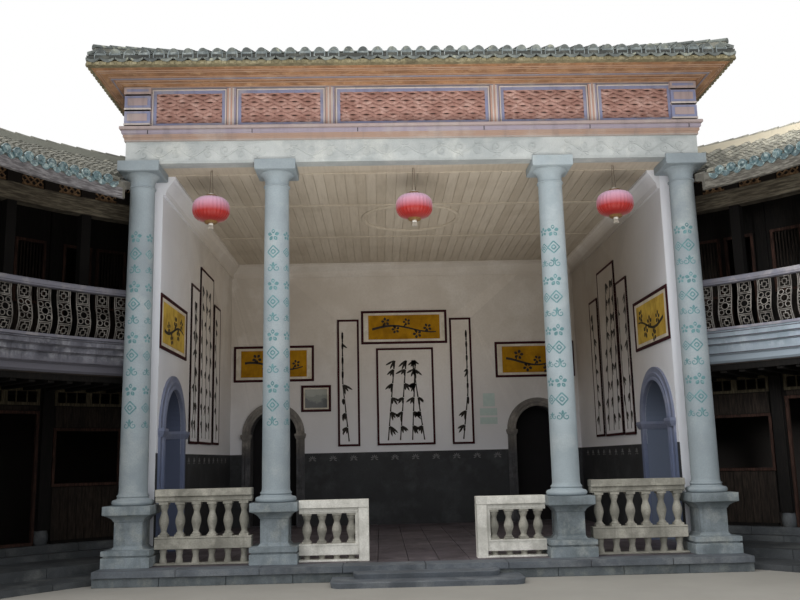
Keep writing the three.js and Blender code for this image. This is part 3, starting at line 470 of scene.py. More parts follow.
SHAFT_STEPS = 12
column_profile = half_round(TORUS_RADIUS, CAP_TOP, TORUS_TOP)
column_profile += curved([(0.288, TORUS_TOP), (0.262, 1.292), (0.252, 1.304), (0.25, RING_BOTTOM)], 3)
column_profile += half_round(RING_RADIUS, RING_BOTTOM, RING_TOP, 5)
column_profile += curved([(0.241, RING_TOP), (0.231, 1.385), (SHAFT_FOOT_RADIUS, SHAFT_FOOT)], 3)
for i in range(1, SHAFT_STEPS + 1):
    z = SHAFT_FOOT + (ASTRAGAL - 0.03 - SHAFT_FOOT) * i / SHAFT_STEPS
    column_profile.append((shaft_radius(z), z))
column_profile += [(0.212, ASTRAGAL - 0.006)] + half_round(0.229, ASTRAGAL, ASTRAGAL + 0.034, 6)
column_profile += [(0.212, ASTRAGAL + 0.038), (SHAFT_NECK_RADIUS, BELL_BOTTOM)]
column_profile += curved([(0.206, 6.60), (0.212, 6.64), (0.232, 6.685), (0.268, 6.722), (0.290, 6.733)], 4)
column_profile.append((0.292, ABACUS_BOTTOM + 0.002))

for name in COLUMN_NAMES:
    axis = column_axis[name]
    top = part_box("column_" + name)[1].z
    column = Piece()
    column.turned(column_profile, axis, sides=72)
    column.squared([(0.322, ABACUS_BOTTOM), (ABACUS_HALF, ABACUS_BOTTOM + 0.016), (ABACUS_HALF, top)], axis)
    stone = granite_shaft_lit if name == "inner_right" else granite_shaft
    column = column.become("column_shaft_" + name, stone, worn=0.004)
    fit(column, "granite", "column_" + name)


def ribbon(piece, path, place, proud=0.002, sunk=0.004, finish=0):
    """A narrow raised stroke along path (across, up, width). place sets (across, up, out) on a surface."""
    rings = []
    for i, (u, v, width) in enumerate(path):
        before, after = path[max(i - 1, 0)], path[min(i + 1, len(path) - 1)]
        along = Vector((after[0] - before[0], after[1] - before[1]))
        side = Vector((-along.y, along.x)).normalized() * width / 2
        corners = ((1, -sunk), (-1, -sunk), (-1, proud), (1, proud))
        rings.append([place(u + side.x * s, v + side.y * s, out) for s, out in corners])
    piece.loft(rings, finish)


def petal(centre, angle, start, end, width):
    """A leaf or petal that points away from centre at an angle in degrees."""
    a = math.radians(angle)
    shares = [(0.0, 0.15), (0.25, 0.75), (0.55, 1.0), (0.8, 0.75), (1.0, 0.12)]
    reach = [(start + (end - start) * t, width * w) for t, w in shares]
    return [(centre[0] + r * math.cos(a), centre[1] + r * math.sin(a), w) for r, w in reach]


def blossom(centre, radius, petals=5, turn=90):
    """A round traditional blossom: its petals, with the middle left open."""
    step = 360 / petals
    return [petal(centre, turn + i * step, 0.25 * radius, radius, 0.6 * radius) for i in range(petals)]


def straight(a, b, line, steps=3):
    """A stroke of even width from a to b."""
    shares = [i / steps for i in range(steps + 1)]
    return [(a[0] + (b[0] - a[0]) * t, a[1] + (b[1] - a[1]) * t, line) for t in shares]


def lozenge(centre, half, line):
    """A square stood on its corner, drawn with one line of even width."""
    ways = ((0, 1), (1, 0), (0, -1), (-1, 0))
    points = [(centre[0] + a * half, centre[1] + b * half) for a, b in ways]
    return [straight(a, b, line) for a, b in zip(points, points[1:] + points[:1])]


def spiral(centre, radius, turns=1.4, line=0.012, hand=1, start=90):
    """A cloud curl that winds in to its centre."""
    steps = 16
    path = []
    for i in range(steps + 1):
        share = i / steps
        a = math.radians(start) + hand * share * turns * 2 * math.pi
        r = radius * (1 - 0.85 * share)
        path.append((centre[0] + r * math.cos(a), centre[1] + r * math.sin(a), line * (1 - 0.5 * share)))
    return path


# The cuts were tinted with a thin teal paint, now weathered
teal_cut = weathered("granite_cut_teal_tinted", "#669095", "#52787e", "#7fa2a5",
                     0.12, 0.015, 0.1, 0.85, 0.002)

ORNAMENT_TOP, ORNAMENT_PITCH, ORNAMENT_COUNT = 5.62, 0.287, 12
FRONT_SIZE, SIDE_SIZE = 1.5, 1.1
FRONT_TURN = -10
SIDE_TURN = 58

for name in COLUMN_NAMES:
    axis = column_axis[name]
    towards_middle = 1 if axis[0] < 0 else -1
    ornament = Piece()
    for turn, size in ((FRONT_TURN, FRONT_SIZE), (towards_middle * SIDE_TURN, SIDE_SIZE)):

        def on_shaft(u, v, out):
            radius = shaft_radius(v)
            a = math.radians(turn) + u / radius
            return (axis[0] + (radius + out) * math.sin(a), axis[1] - (radius + out) * math.cos(a), v)

        for i in range(ORNAMENT_COUNT):
            middle = (0.0, ORNAMENT_TOP - i * ORNAMENT_PITCH)
            reach, line = 0.07 * size, 0.015 * size
            if i % 3 == 0:
                strokes = blossom(middle, reach)
            elif i % 3 == 1:
                strokes = lozenge(middle, reach, line) + lozenge(middle, 0.4 * reach, line)
            else:
                strokes = [spiral((s * 0.6 * reach, middle[1]), 0.6 * reach, 1.2, line, s) for s in (-1, 1)]
                strokes.append(petal(middle, 90, 0.3 * reach, reach, 0.4 * reach))
            for stroke in strokes:
                ribbon(ornament, stroke, on_shaft, 0.0015)
    fit(ornament.become("shaft_ornament_" + name, teal_cut), "granite")


# Balustrades
# Pale cast stone: a heavy rail and sub-rail on turned double-vase balusters, a lower rail under
# them, and stub balusters down to a sill on the platform. Posts end them at the gateway. The outer
# runs are weathered, and the rails and posts of the inner ones are a much paler copy of the stone: painted
# light.
# Cast stone keeps the fine sandy face of its mould and holds dirt in runs
pale_stone = weathered("pale_cast_stone_grimy", "#a5a399", "#6f6e66", "#c0bdb2",
                       0.5, 0.025, 0.5, 0.82, 0.004)
# A paler copy of the same stone for the inner rails and posts: painted light
cast_stone_lit = weathered("pale_cast_stone_painted_lit", "#e6e5de", "#aaa9a1", "#f0efe8",
                        0.5, 0.025, 0.4, 0.82, 0.004)

laid = bpy.data.node_groups.new("laid_pieces", "GeometryNodeTree")
for label, kind in (("Geometry", "Geometry"), ("Template", "Object"), ("Finish", "Material"),
                    ("Shift", "Float"), ("Lean", "Float"), ("Seed", "Int")):
    laid.interface.new_socket(label, in_out="INPUT", socket_type="NodeSocket" + kind)
laid.interface.new_socket("Geometry", in_out="OUTPUT", socket_type="NodeSocketGeometry")
given = put(laid, "NodeGroupInput").outputs


def wobble(amount, seed):
    """A random vector for each point, no longer than amount along any axis."""
    less = put(laid, "Math", operation="MULTIPLY", Value=given[amount], Value_001=-1.0)
    return put(laid, "FunctionNodeRandomValue", data_type="FLOAT_VECTOR",
               Min=less, Max=given[amount], Seed=seed)


other_seed = put(laid, "Math", operation="ADD", Value=given["Seed"], Value_001=1.0)
moved = put(laid, "GeometryNodeSetPosition",
            Geometry=given["Geometry"], Offset=wobble("Shift", given["Seed"]))
turn = put(laid, "GeometryNodeInputNamedAttribute", data_type="FLOAT_VECTOR", Name="turn")
size = put(laid, "GeometryNodeInputNamedAttribute", data_type="FLOAT_VECTOR", Name="size")
lean = put(laid, "VectorMath", operation="ADD", Vector=turn, Vector_001=wobble("Lean", other_seed))
template = put(laid, "GeometryNodeObjectInfo", Object=given["Template"])
copies = put(laid, "GeometryNodeInstanceOnPoints", Points=moved, Instance=template.outputs["Geometry"],
             Rotation=put(laid, "FunctionNodeEulerToRotation", Euler=lean), Scale=size)
real = put(laid, "GeometryNodeRealizeInstances", Geometry=copies)
finished = put(laid, "GeometryNodeSetMaterial", Geometry=real, Material=given["Finish"])
put(laid, "NodeGroupOutput", Geometry=finished)


def lay(name, pattern, finish, places, shift=0.0, lean=0.0, seed=1):
    """Sets a copy of one finished pattern object at every place: (point, turn, size)."""
    points = bpy.data.meshes.new(name)
    points.from_pydata([p for p, _, _ in places], [], [])
    for label, column in (("turn", 1), ("size", 2)):
        values = points.attributes.new(label, "FLOAT_VECTOR", "POINT")
        values.data.foreach_set("vector", [c for spot in places for c in spot[column]])
    made = bpy.data.objects.new(name, points)
    bpy.context.scene.collection.objects.link(made)
    setter = made.modifiers.new("laid_pieces", "NODES")
    setter.node_group = laid
    values = {"Template": pattern, "Finish": finish, "Shift": shift, "Lean": lean, "Seed": seed}
    for socket in laid.interface.items_tree:
        if socket.in_out == "INPUT" and socket.name in values:
            setter[socket.identifier] = values[socket.name]
    seen = made.evaluated_get(bpy.context.evaluated_depsgraph_get())
    mesh = bpy.data.meshes.new_from_object(seen)
    made.modifiers.remove(setter)
    made.data = mesh
    bpy.data.meshes.remove(points)
    bpy.data.objects.remove(pattern)
    return made


RAIL_HALF = 0.12
OUTER_RAIL = {"top": 1.430, "bottom": 1.315, "head": 1.220, "foot": 0.680, "low": 0.487, "count": 6}
INNER_RAIL = {"top": 1.205, "bottom": 1.080, "head": 0.990, "foot": 0.515, "low": 0.341, "count": 4}
RAIL_SILL = 0.03
POST_INNER, POST_OUTER = 0.873, 1.040
POST_STRIP = 0.055
BALUSTER_PLINTH = 0.036
FOOT_HALF, FOOT_WORN = 0.074, 0.069
VASE = [
    (0.066, 0.0), (0.067, 0.03), (0.052, 0.07), (0.046, 0.12), (0.06, 0.25), (0.076, 0.38), (0.078, 0.47),
    (0.069, 0.58), (0.052, 0.69), (0.046, 0.76), (0.05, 0.82), (0.063, 0.9), (0.068, 0.95), (0.068, 1.0),
]
SIDES = (("left", -1), ("right", 1))


def mirrored(s, a, b):
    """The distances a and b from the middle on side s, the lower value first."""
    return sorted((s * a, s * b))


def baluster(name, height):
    """One turned baluster with its square foot and head, standing on the origin."""
    shape = Piece()
    body, neck = height - 2 * BALUSTER_PLINTH, height - BALUSTER_PLINTH
    shape.squared([(FOOT_HALF, -0.001), (FOOT_HALF, BALUSTER_PLINTH - 0.006), (FOOT_WORN, BALUSTER_PLINTH)])
    shape.turned([(r, BALUSTER_PLINTH + share * body) for r, share in curved(VASE, 2)], sides=20)
    shape.squared([(FOOT_WORN, neck), (FOOT_HALF, neck + 0.006), (FOOT_HALF, height + 0.001)])
    return shape.become(name)


def stub(name, height):
    """A squat baluster for the row under the lower rail."""
    shape = Piece()
    waist = curved([(0.064, -0.001), (0.058, 0.2 * height), (0.046, 0.5 * height), (0.06, 0.85 * height),
                    (0.066, height + 0.001)], 3)
    shape.turned(waist, sides=16)
    return shape.become(name)


def balustrade(name, x0, x1, rail):
    """The rails and sill of one run between two ends, and its rows of balusters."""
    y = column_axis["inner_left"][1]
    sill = FLOOR + RAIL_SILL
    bars = Piece()
    for half, low, high in (
        (RAIL_HALF, rail["bottom"], rail["top"]), (0.085, rail["head"] + 0.02, rail["bottom"]),
        (0.075, rail["head"], rail["head"] + 0.02), (0.095, rail["low"], rail["foot"] - 0.03),
        (0.1, rail["foot"] - 0.03, rail["foot"]), (0.115, FLOOR, sill),
    ):
        bars.block((x0, x1), (y - half, y + half), (low, high))
    count = rail["count"]
    rows = {z: [((x0 + (x1 - x0) * (i + 0.5) / count, y, z), (0, 0, 0), (1, 1, 1)) for i in range(count)]
            for z in (rail["foot"], sill)}
    tall = lay("balusters_" + name, baluster("baluster", rail["head"] - rail["foot"]), pale_stone,
               rows[rail["foot"]], lean=0.02, seed=len(name))
    short = lay("stub_balusters_" + name, stub("stub", rail["low"] - sill), pale_stone, rows[sill], seed=3)
    fit(tall, "pale_stone")
    fit(short, "pale_stone")
    return bars


inner_x, outer_x = (abs(column_axis[name][0]) for name in ("inner_right", "outer_right"))
for side, s in SIDES:
    ends = mirrored(s, inner_x + PLINTH_HALF, outer_x - PLINTH_HALF)
    bars = balustrade("outer_" + side, *ends, OUTER_RAIL)
    fit(bars.become("rails_outer_" + side, pale_stone, worn=0.012), "pale_stone", "balustrade_outer_" + side)
    ends = mirrored(s, POST_OUTER, inner_x - PLINTH_HALF)
    bars = balustrade("inner_" + side, *ends, INNER_RAIL)
    post_x, post_y = mirrored(s, POST_INNER, POST_OUTER), (-RAIL_HALF, RAIL_HALF)
    post = bars.block(post_x, post_y, (FLOOR, INNER_RAIL["bottom"]))[:4]
    bmesh.ops.inset_individual(bars.mesh, faces=post, thickness=0.03, use_even_offset=True)
    bmesh.ops.inset_individual(bars.mesh, faces=post, thickness=0.006, depth=-0.008)
    bars.block(post_x, post_y, (INNER_RAIL["bottom"], INNER_RAIL["top"]))
    bars.block(mirrored(s, POST_OUTER, POST_OUTER + POST_STRIP), (-0.08, 0.08),
               (INNER_RAIL["foot"], INNER_RAIL["head"]))
    bars = bars.become("rails_inner_" + side, cast_stone_lit, worn=0.009)
    fit(bars, "pale_stone", "balustrade_inner_" + side)


# Hall walls
# Thick earth and brick walls under smooth lime plaster, gone ivory with age, with a dark grey
# painted dado round the room and a row of small pale lotus ornaments near its top.
ROOM_SIDE, ROOM_BACK = 4.447, 7.79
DADO_TOP = 2.02

# Limewash trowelled smooth: matt and pale, with soft ivory clouds and a few runs
plaster, place = begin("lime_plaster_aged")
colour, relief = mineral(place, "#dad3ca", "#c6bdb1", "#e4dfd8", 1.8, 0.05, 0.16)
dado, _ = mineral(place, "#323539", "#232528", "#44474b", 0.9, 0.03, 0.2)
spot = put(place, "SeparateXYZ", Vector=place)
aside = put(place, "Math", operation="ABSOLUTE", Value=spot.outputs["X"])
inside = put(place, "Math", operation="LESS_THAN", Value=aside, Value_001=ROOM_SIDE + 0.01)
before = put(place, "Math", operation="LESS_THAN",
             Value=spot.outputs["Y"], Value_001=ROOM_BACK + 0.01)
below = put(place, "Math", operation="LESS_THAN", Value=spot.outputs["Z"], Value_001=DADO_TOP)
in_room = put(place, "Math", operation="MULTIPLY", Value=inside, Value_001=before)
painted = put(place, "Math", operation="MULTIPLY", Value=in_room, Value_001=below)
# The limewash is painted a paler, cooler white low down and towards the open front: painted daylight
front = ramp(spot.outputs["Y"], 0.3, 4.2, 1.0, 0.0)
low = ramp(spot.outputs["Z"], 2.0, 4.8, 0.85, 0.0)
low = put(place, "Math", operation="MULTIPLY", Value=low, Value_001=in_room)
painted_daylight = put(place, "Math", operation="MAXIMUM", Value=front, Value_001=low)
colour = blend(painted_daylight, colour, "#e6e9f1")
# Painted shade: the upper part of the right wall, further in, is painted a darker brown
right_wall_shade = put(place, "Math", operation="MULTIPLY", Value=ramp(spot.outputs["X"], 4.3, 4.4),
            Value_001=ramp(spot.outputs["Y"], 0.8, 3.0, 0.2, 0.62))
right_wall_shade = put(place, "Math", operation="MULTIPLY", Value=right_wall_shade,
            Value_001=ramp(spot.outputs["Z"], 3.2, 5.0))
right_wall_shade = put(place, "Math", operation="MULTIPLY", Value=right_wall_shade, Value_001=in_room)
colour = blend(right_wall_shade, colour, "#877c6e")
finish = blend(painted, colour, dado)

# The reveals of the doorways are painted like their surrounds. Each fills a range of distance from
# the hall's middle, of depth and of height
SIDE_REVEAL = ((4.449, 4.975), (0.7, 2.3), (0.2, 3.3))
BACK_REVEAL = ((2.6, 4.1), (7.792, 8.295), (0.2, 3.2))
# The side reveals are painted darker on the left than on the right: painted shade
lit_side = ramp(spot.outputs["X"], -1.0, 1.0)
side_paint, back_paint = blend(lit_side, "#525b74", "#6b768c"), "#4a4b4e"
for paint, ranges in ((side_paint, SIDE_REVEAL), (back_paint, BACK_REVEAL)):
    reveal = 1.0
    for value, (low, high) in zip((aside, spot.outputs["Y"], spot.outputs["Z"]), ranges):
        between = put(place, "Math", operation="COMPARE",
                      Value=value, Value_001=(low + high) / 2, Value_002=(high - low) / 2)
        reveal = put(place, "Math", operation="MULTIPLY", Value=reveal, Value_001=between)
    finish = blend(reveal, finish, paint)
close(finish, ramp(painted, 0, 1, 0.92, 0.7), relief, 0.003)
dress(plaster, "side_wall_left", "side_wall_right", "back_wall", "plaster_cornice")


def on_back(u, v, out):
    return (u, ROOM_BACK - out, v)


def on_right(u, v, out):
    return (ROOM_SIDE - out, u, v)


def on_left(u, v, out):
    return (-ROOM_SIDE + out, u, v)


dado_ink = mottled("dado_ornament_limewash", "#6f7072", "#8b8b8c", 0.05, 0.9)

LOTUS_PITCH, LOTUS_HEIGHT = 0.52, 1.86
lotus = Piece()
for surface, start, end, gaps in (
    (on_back, -4.2, 4.2, ((-4.3, -2.5), (2.5, 4.3))),
    (on_right, 2.7, 7.6, ()),
    (on_left, 2.7, 7.6, ()),
):
    for i in range(int((end - start) / LOTUS_PITCH)):
        u = start + (i + 0.5) * LOTUS_PITCH
        if any(low < u < high for low, high in gaps):
            continue
        for angle in (-20, 20, 55, 90, 125, 160, 200):
            ribbon(lotus, petal((u, LOTUS_HEIGHT), angle, 0.02, 0.1, 0.022), surface, 0.002)
fit(lotus.become("dado_lotus_ornament", dado_ink), "plaster")


# Doorway surrounds
# Dark grey stone round each doorway: a rebated band with a roll at the opening, carried up the
# jambs and over the round head, with a swelling impost block where the arch springs.
SIDE_ARCH = {"centre": 1.485, "half": 0.725, "spring": 2.44, "band": 0.25}
BACK_ARCH = {"centre": 3.361, "half": 0.575, "spring": 2.52, "band": 0.212}
ARCH_TURNS = [math.pi * i / 28 for i in range(29)]
IMPOST_HEIGHT = 0.145
REVEAL_DEPTH = 0.52

# Stone under old paint: dull, rubbed darker up to hand height
dark_stone, place = begin("grey_stone_painted")
upper, relief = mineral(place, "#86827d", "#5f5c59", "#9b9690", 0.4, 0.03, 0.3)
lower, relief = mineral(place, "#505155", "#35363a", "#66666a", 0.4, 0.03, 0.3)
spot = put(place, "SeparateXYZ", Vector=place)
stone = blend(ramp(spot.outputs["Z"], 1.9, 2.3), lower, upper)
# The doorways of the side walls are painted a cooler grey
aside = put(place, "Math", operation="ABSOLUTE", Value=spot.outputs["X"])
close(blend(ramp(aside, 4.2, 4.3, 0.0, 0.55), stone, "#7686ae"), 0.75, relief, 0.003)


def arch_band(piece, arch, side, surface, profile):
    """A moulding of (share of the band, thickness) carried round a doorway on one wall."""
    centre, half, spring, band = side * arch["centre"], arch["half"], arch["spring"], arch["band"]
    stations = [(centre + half * math.cos(a), spring + half * math.sin(a), math.cos(a), math.sin(a))
                for a in ARCH_TURNS]
    stations = [(centre + half, FLOOR, 1, 0)] + stations + [(centre - half, FLOOR, -1, 0)]
    piece.loft([
        [surface(u + du * share * band, v + dv * share * band, out) for share, out in profile]
        for u, v, du, dv in stations
    ])


BAND_PROFILE = [
    (0.0, 0.0), (0.0, 0.06), (0.04, 0.072), (0.14, 0.075), (0.24, 0.066), (0.27, 0.052), (0.34, 0.056),
    (0.5, 0.068), (0.56, 0.068), (0.6, 0.044), (0.72, 0.036), (0.86, 0.044), (1.0, 0.042), (1.0, 0.0),
]
IMPOST_PROFILE = [
    (-IMPOST_HEIGHT, 0.0), (-0.125, 0.006), (-0.1, 0.022), (-0.062, 0.03), (-0.058, 0.036),
    (-0.02, 0.036), (0.0, 0.026),
]
IMPOST_PROUD = 0.075

for name, node, arch, side, surface in (
    ("sideright", "side_arch_surround_right", SIDE_ARCH, 1, on_right),
    ("sideleft", "side_arch_surround_left", SIDE_ARCH, 1, on_left),
    ("backright", "back_arch_surround_right", BACK_ARCH, 1, on_back),
    ("backleft", "back_arch_surround_left", BACK_ARCH, -1, on_back),
):
    surround = Piece()
    arch_band(surround, arch, side, surface, BAND_PROFILE)
    for s in (-1, 1):
        jamb, reach = side * arch["centre"] + s * arch["half"], arch["band"] / 2
        surround.loft([
            [surface(jamb + s * reach + a * (reach + grow), arch["spring"] + z, out) for a, out in (
                (-1, 0), (1, 0), (1, IMPOST_PROUD + grow), (-1, IMPOST_PROUD + grow),
            )]
            for z, grow in IMPOST_PROFILE
        ])
        if arch is SIDE_ARCH:
            surround.loft([
                [surface(jamb - s * a, arch["spring"] + z, out) for a, out in (
                    (-0.01, 0.0), (grow + 0.012, 0.0), (grow + 0.012, -REVEAL_DEPTH), (-0.01, -REVEAL_DEPTH),
                )]
                for z, grow in IMPOST_PROFILE
            ])
    fit(surround.become("doorway_surround_" + name, dark_stone), "dark_stone", node)


# Rear doorway backdrops
# A matt dark board, cut to the doorway's outline, stands in each rear doorway and closes it, as
# painted shade for the dark space beyond. It isn't part of the building.
behind_doors = mottled("backdrop_board_dark", "#0b0a0b", "#17151a", 0.4, 0.95)
BACKDROP_Y = (8.26, 8.29)
for side, s in SIDES:
    middle, half, spring = s * BACK_ARCH["centre"], BACK_ARCH["half"], BACK_ARCH["spring"]
    outline = [(middle + half * math.cos(a), spring + half * math.sin(a)) for a in ARCH_TURNS]
    outline = [(middle + half, 0.0)] + outline + [(middle - half, 0.0)]
    backdrop = Piece()
    backdrop.loft([[(u, y, v) for u, v in outline] for y in BACKDROP_Y])
    backdrop.become("doorway_backdrop_" + side, behind_doors)


# Lintels
# Three long granite stones from column to column, jointed over the inner columns, with a shallow
# carved vine scroll along the face and a plain margin at top and bottom.
dress(granite_lintel, "lintel_left", "lintel_centre", "lintel_right")
lintel_low, lintel_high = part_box("lintel_centre")
LINTEL_FRONT, LINTEL_BOTTOM, LINTEL_TOP = lintel_low.y, lintel_low.z, lintel_high.z
LINTEL_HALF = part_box("lintel_right")[1].x
VINE_PITCH, VINE_SWING, VINE_PROUD, VINE_MARGIN = 0.62, 0.075, 0.012, 0.16


def on_lintel(u, v, out):
    return (u, LINTEL_FRONT - out, v)


carving = Piece()
middle_z = (LINTEL_BOTTOM + LINTEL_TOP) / 2
for name in ("lintel_left", "lintel_centre", "lintel_right"):
    low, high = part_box(name)
    start, end = low.x + VINE_MARGIN, high.x - VINE_MARGIN
    count = round((end - start) / VINE_PITCH)
    pitch = (end - start) / count
    wave = [(start + pitch * i / 8, middle_z + VINE_SWING * math.sin(2 * math.pi * i / 8), 0.022)
            for i in range(8 * count + 1)]
    ribbon(carving, wave, on_lintel, VINE_PROUD)
    for i in range(count):
        for half, hand in ((0.25, 1), (0.75, -1)):
            u = start + pitch * (i + half)
            curl = spiral((u, middle_z - hand * 0.03), 0.085, 1.3, 0.024, hand, 90 * hand)
            bud = (u, middle_z + hand * 0.09)
            for stroke in [curl] + [petal(bud, hand * angle, 0.0, 0.08, 0.035) for angle in (35, 145)]:
                ribbon(carving, stroke, on_lintel, VINE_PROUD)
    for level in (LINTEL_BOTTOM + 0.035, LINTEL_TOP - 0.03):
        ribbon(carving, [(start, level, 0.018), (end, level, 0.018)], on_lintel, 0.004)
fit(carving.become("lintel_vine_carving", granite_lintel), "granite")


# String cornice
# Brick corbelled out in small courses and rendered, then limewashed in faded pink, lavender and
# cream. Short returns turn round the ends, and thin open joints cross the lavender band.
def banded(place, bands, lowest):
    """A colour for each height: bands holds (top in metres, hex colour), from the lowest up."""
    height = put(place, "SeparateXYZ", Vector=place).outputs["Z"]
    highest = bands[-1][0]
    wavy = ramp(noise(place, 0.25), 0.3, 0.7, -0.003, 0.003)
    level = put(place, "Math", operation="ADD", Value=height, Value_001=wavy)
    steps = put(place, "ValToRGB", Fac=ramp(level, lowest, highest))
    steps.color_ramp.interpolation = "CONSTANT"
    start = lowest
    for i, (top, colour) in enumerate(bands):
        at = (start - lowest) / (highest - lowest)
        if i < 2:
            element = steps.color_ramp.elements[i]
            element.position = at
        else:
            element = steps.color_ramp.elements.new(at)
        element.color = linear(colour)
        start = top
    return steps.outputs["Color"]


def faded(place, base, patch=0.5, wear=0.5):
    """Old limewash over base: rain-dulled runs, grey patches and pale worn spots."""
    runs = noise(place, patch * 0.3, 5.0, (1, 1, 6), (3, 1, 2))
    colour = blend(ramp(runs, 0.5, 0.75, 0.0, wear), base, "#6f6a6c")
    clouds = noise(place, patch, 6.0, shift=(5, 2, 9))
    colour = blend(ramp(clouds, 0.5, 0.7, 0.0, wear), colour, "#b9b2ac")
    return colour, noise(place, 0.03, 3.0)


BANDS = [(7.300, "#a0958f"), (7.392, "#a08779"), (7.468, "#9c93a0"), (7.60, "#a99a99")]
string_wash, place = begin("limewash_bands_faded")
bands = banded(place, BANDS, 7.27)
colour, relief = faded(place, bands, 0.6, 0.45)
close(colour, 0.9, relief, 0.003)

CORNICE_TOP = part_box("string_cornice")[1].z
CORNICE_BACK = -0.28
RETURN_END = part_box("string_cornice")[1].y


def course(out, low, high, start):
    """A course with a cove under it that runs out from start."""
    return [(start, low), (start + 0.3 * (out - start), low + 0.006), (out, low + 0.018), (out, high)]


string_profile = [(CORNICE_BACK, LINTEL_TOP), (0.018, LINTEL_TOP), (0.025, LINTEL_TOP + 0.006)]
string_profile += [(0.025, 7.325)] + course(0.045, 7.330, 7.388, 0.027) + course(0.068, 7.394, 7.461, 0.046)
string_profile += [(0.06, 7.462), (0.06, 7.474), (0.094, 7.476), (0.1, 7.482), (0.1, 7.522)]
string_profile += [(0.092, CORNICE_TOP), (CORNICE_BACK, CORNICE_TOP)]
string = Piece()
string.loft([[(s * (LINTEL_HALF + out), y if y == RETURN_END else y - out, z) for out, z in string_profile]
             for s, y in ((-1, RETURN_END), (-1, LINTEL_FRONT), (1, LINTEL_FRONT), (1, RETURN_END))])
fit(string.become("string_cornice_bands", string_wash), "painted_masonry", "string_cornice")

JOINT_X = [-4.55, -2.77, -0.96, 1.22, 3.06, 4.79]
open_joint = mottled("open_joint_dark", "#2c2a2c", "#4a4648", 0.02, 0.95)
joints = Piece()
for x in JOINT_X:
    joints.block((x - 0.008, x + 0.008), (LINTEL_FRONT - 0.070, LINTEL_FRONT - 0.04), (7.398, 7.462))
fit(joints.become("string_cornice_joints", open_joint), "painted_masonry")


# Frieze
# Rendered brick with five sunk panels. Each panel is framed and filled with arched roof tiles
# set on edge in interlaced waves. Striped pilasters part them, and banded blocks end them.
FRIEZE_FACE = -0.26
FRIEZE_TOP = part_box("frieze")[1].z
PANELS = [(-4.451, -3.289), (-2.992, -1.588), (-1.277, 1.286), (1.583, 3.015), (3.302, 4.503)]
PANEL_Z = (7.600, 8.175)
TILE_FACE = FRIEZE_FACE + 0.03
PILASTER_HALF, PILASTER_DEPTH = 0.075, 0.025
END_BLOCK_X, END_BLOCK_HALF, END_BLOCK_DEPTH = 4.75, 0.22, 0.06


def limewash(name, colour, wear=0.5):
    """Old limewash of one colour: chalky and quite matt."""
    made, place = begin(name)
    mixed, relief = faded(place, colour, 0.4, wear)
    close(mixed, 0.9, relief, 0.002)
    return made


lavender = limewash("limewash_lavender", "#9d98ae")
blue_wash = limewash("limewash_blue_lavender", "#8b90b0")
rose_wash = limewash("limewash_rose_grey", "#ad9c9d")
pink = limewash("limewash_pink", "#c39f92")
cream = limewash("limewash_cream", "#cfc6c2", 0.35)
plain_wash = limewash("limewash_beige_pink", "#b5a29f")
dress(plain_wash, "frieze")

frames = Piece()
for x0, x1 in PANELS:
    for inset, width, proud, finish in ((-0.058, 0.022, 0.022, 1), (-0.036, 0.054, 0.006, 0)):
        back, face = FRIEZE_FACE + 0.02, FRIEZE_FACE - proud
        section = ((inset, back), (inset, face), (inset + width, face), (inset + width, back))
        rings = []
        for sx, sz in SQUARE:
            x, z = (x0, x1)[sx > 0], PANEL_Z[sz > 0]
            rings.append([(x - sx * inwards, y, z - sz * inwards) for inwards, y in section])
        frames.loft(rings, finish, closed=True)
fit(frames.become("frieze_panel_frames", blue_wash, cream, worn=0.003, steps=1), "painted_masonry")

# The bedding behind the tiles is painted near black: painted shade in the openings between them
tile_bedding_shade = limewash("tile_bedding_painted_shade", "#3b241e", 0.15)
backing = Piece()
for x0, x1 in PANELS:
    backing.block((x0 + 0.001, x1 - 0.001), (TILE_FACE - 0.002, TILE_FACE + 0.01),
                  (PANEL_Z[0] + 0.001, PANEL_Z[1] - 0.001))
fit(backing.become("frieze_tile_bedding", tile_bedding_shade), "painted_masonry")

# Fired clay, dull red under a film of dust
terracotta = weathered("terracotta_tile_dusty", "#b89389", "#8a645a", "#cfb0a7",
                       0.25, 0.02, 0.25, 0.9, 0.003)

WAVE_WIDTH, WAVE_SWING, WAVE_TILT = 0.235, 0.048, 0.010
WAVE_LOW, WAVE_RISE, WAVE_ROWS = PANEL_Z[0] + 0.020, 0.127, 5
LID, LID_DEPTH = 0.067, 0.028


def wave_tile(start, end):
    """An arched tile seen end on, or half of one, crest up. Its right end laps over the next."""
    shape = Piece()
    rings = []
    edge = [(-LID / 2, 0.0), (-LID / 2, 0.6 * LID_DEPTH), (-0.3 * LID, LID_DEPTH),
            (0.25 * LID, LID_DEPTH), (LID / 2, 0.5 * LID_DEPTH), (LID / 2, 0.0)]
    steps = round(10 * (end - start))
    for i in range(steps + 1):
        share = start + (end - start) * i / steps
        u, v = (share - 0.5) * WAVE_WIDTH, WAVE_SWING * math.sin(math.pi * share)
        lap = WAVE_TILT * (share - 0.5)
        rings.append([(u, -out - lap if out else 0.0, v + up) for up, out in edge])
    shape.loft(rings)
    return shape.become("wave_tile", crease=50)


# Turned half round about the eye between them, the same tile makes the lower lid
whole_tiles, left_halves, right_halves = [], [], []
for x0, x1 in PANELS:
    columns = round((x1 - x0) / WAVE_WIDTH)
    width = (x1 - x0) / columns
    for row in range(WAVE_ROWS):
        z = WAVE_LOW + row * WAVE_RISE
        for column in range(columns + row % 2):
            x = x0 + (column + 0.5 - 0.5 * (row % 2)) * width
            for lower in ((0,) if row == 0 else (0, 1)):
                group = whole_tiles
                if row % 2 and column in (0, columns):
                    group = left_halves if (column == 0) == bool(lower) else right_halves
                group.append(((x, TILE_FACE, z), (0, math.pi * lower, 0), (width / WAVE_WIDTH, 1, 1)))
for name, share, places in (
    ("frieze_wave_tiles", (0, 1), whole_tiles), ("frieze_wave_tiles_left", (0, 0.5), left_halves),
    ("frieze_wave_tiles_right", (0.5, 1), right_halves),
):
    fit(lay(name, wave_tile(*share), terracotta, places, shift=0.001, seed=4), "roof_tile")

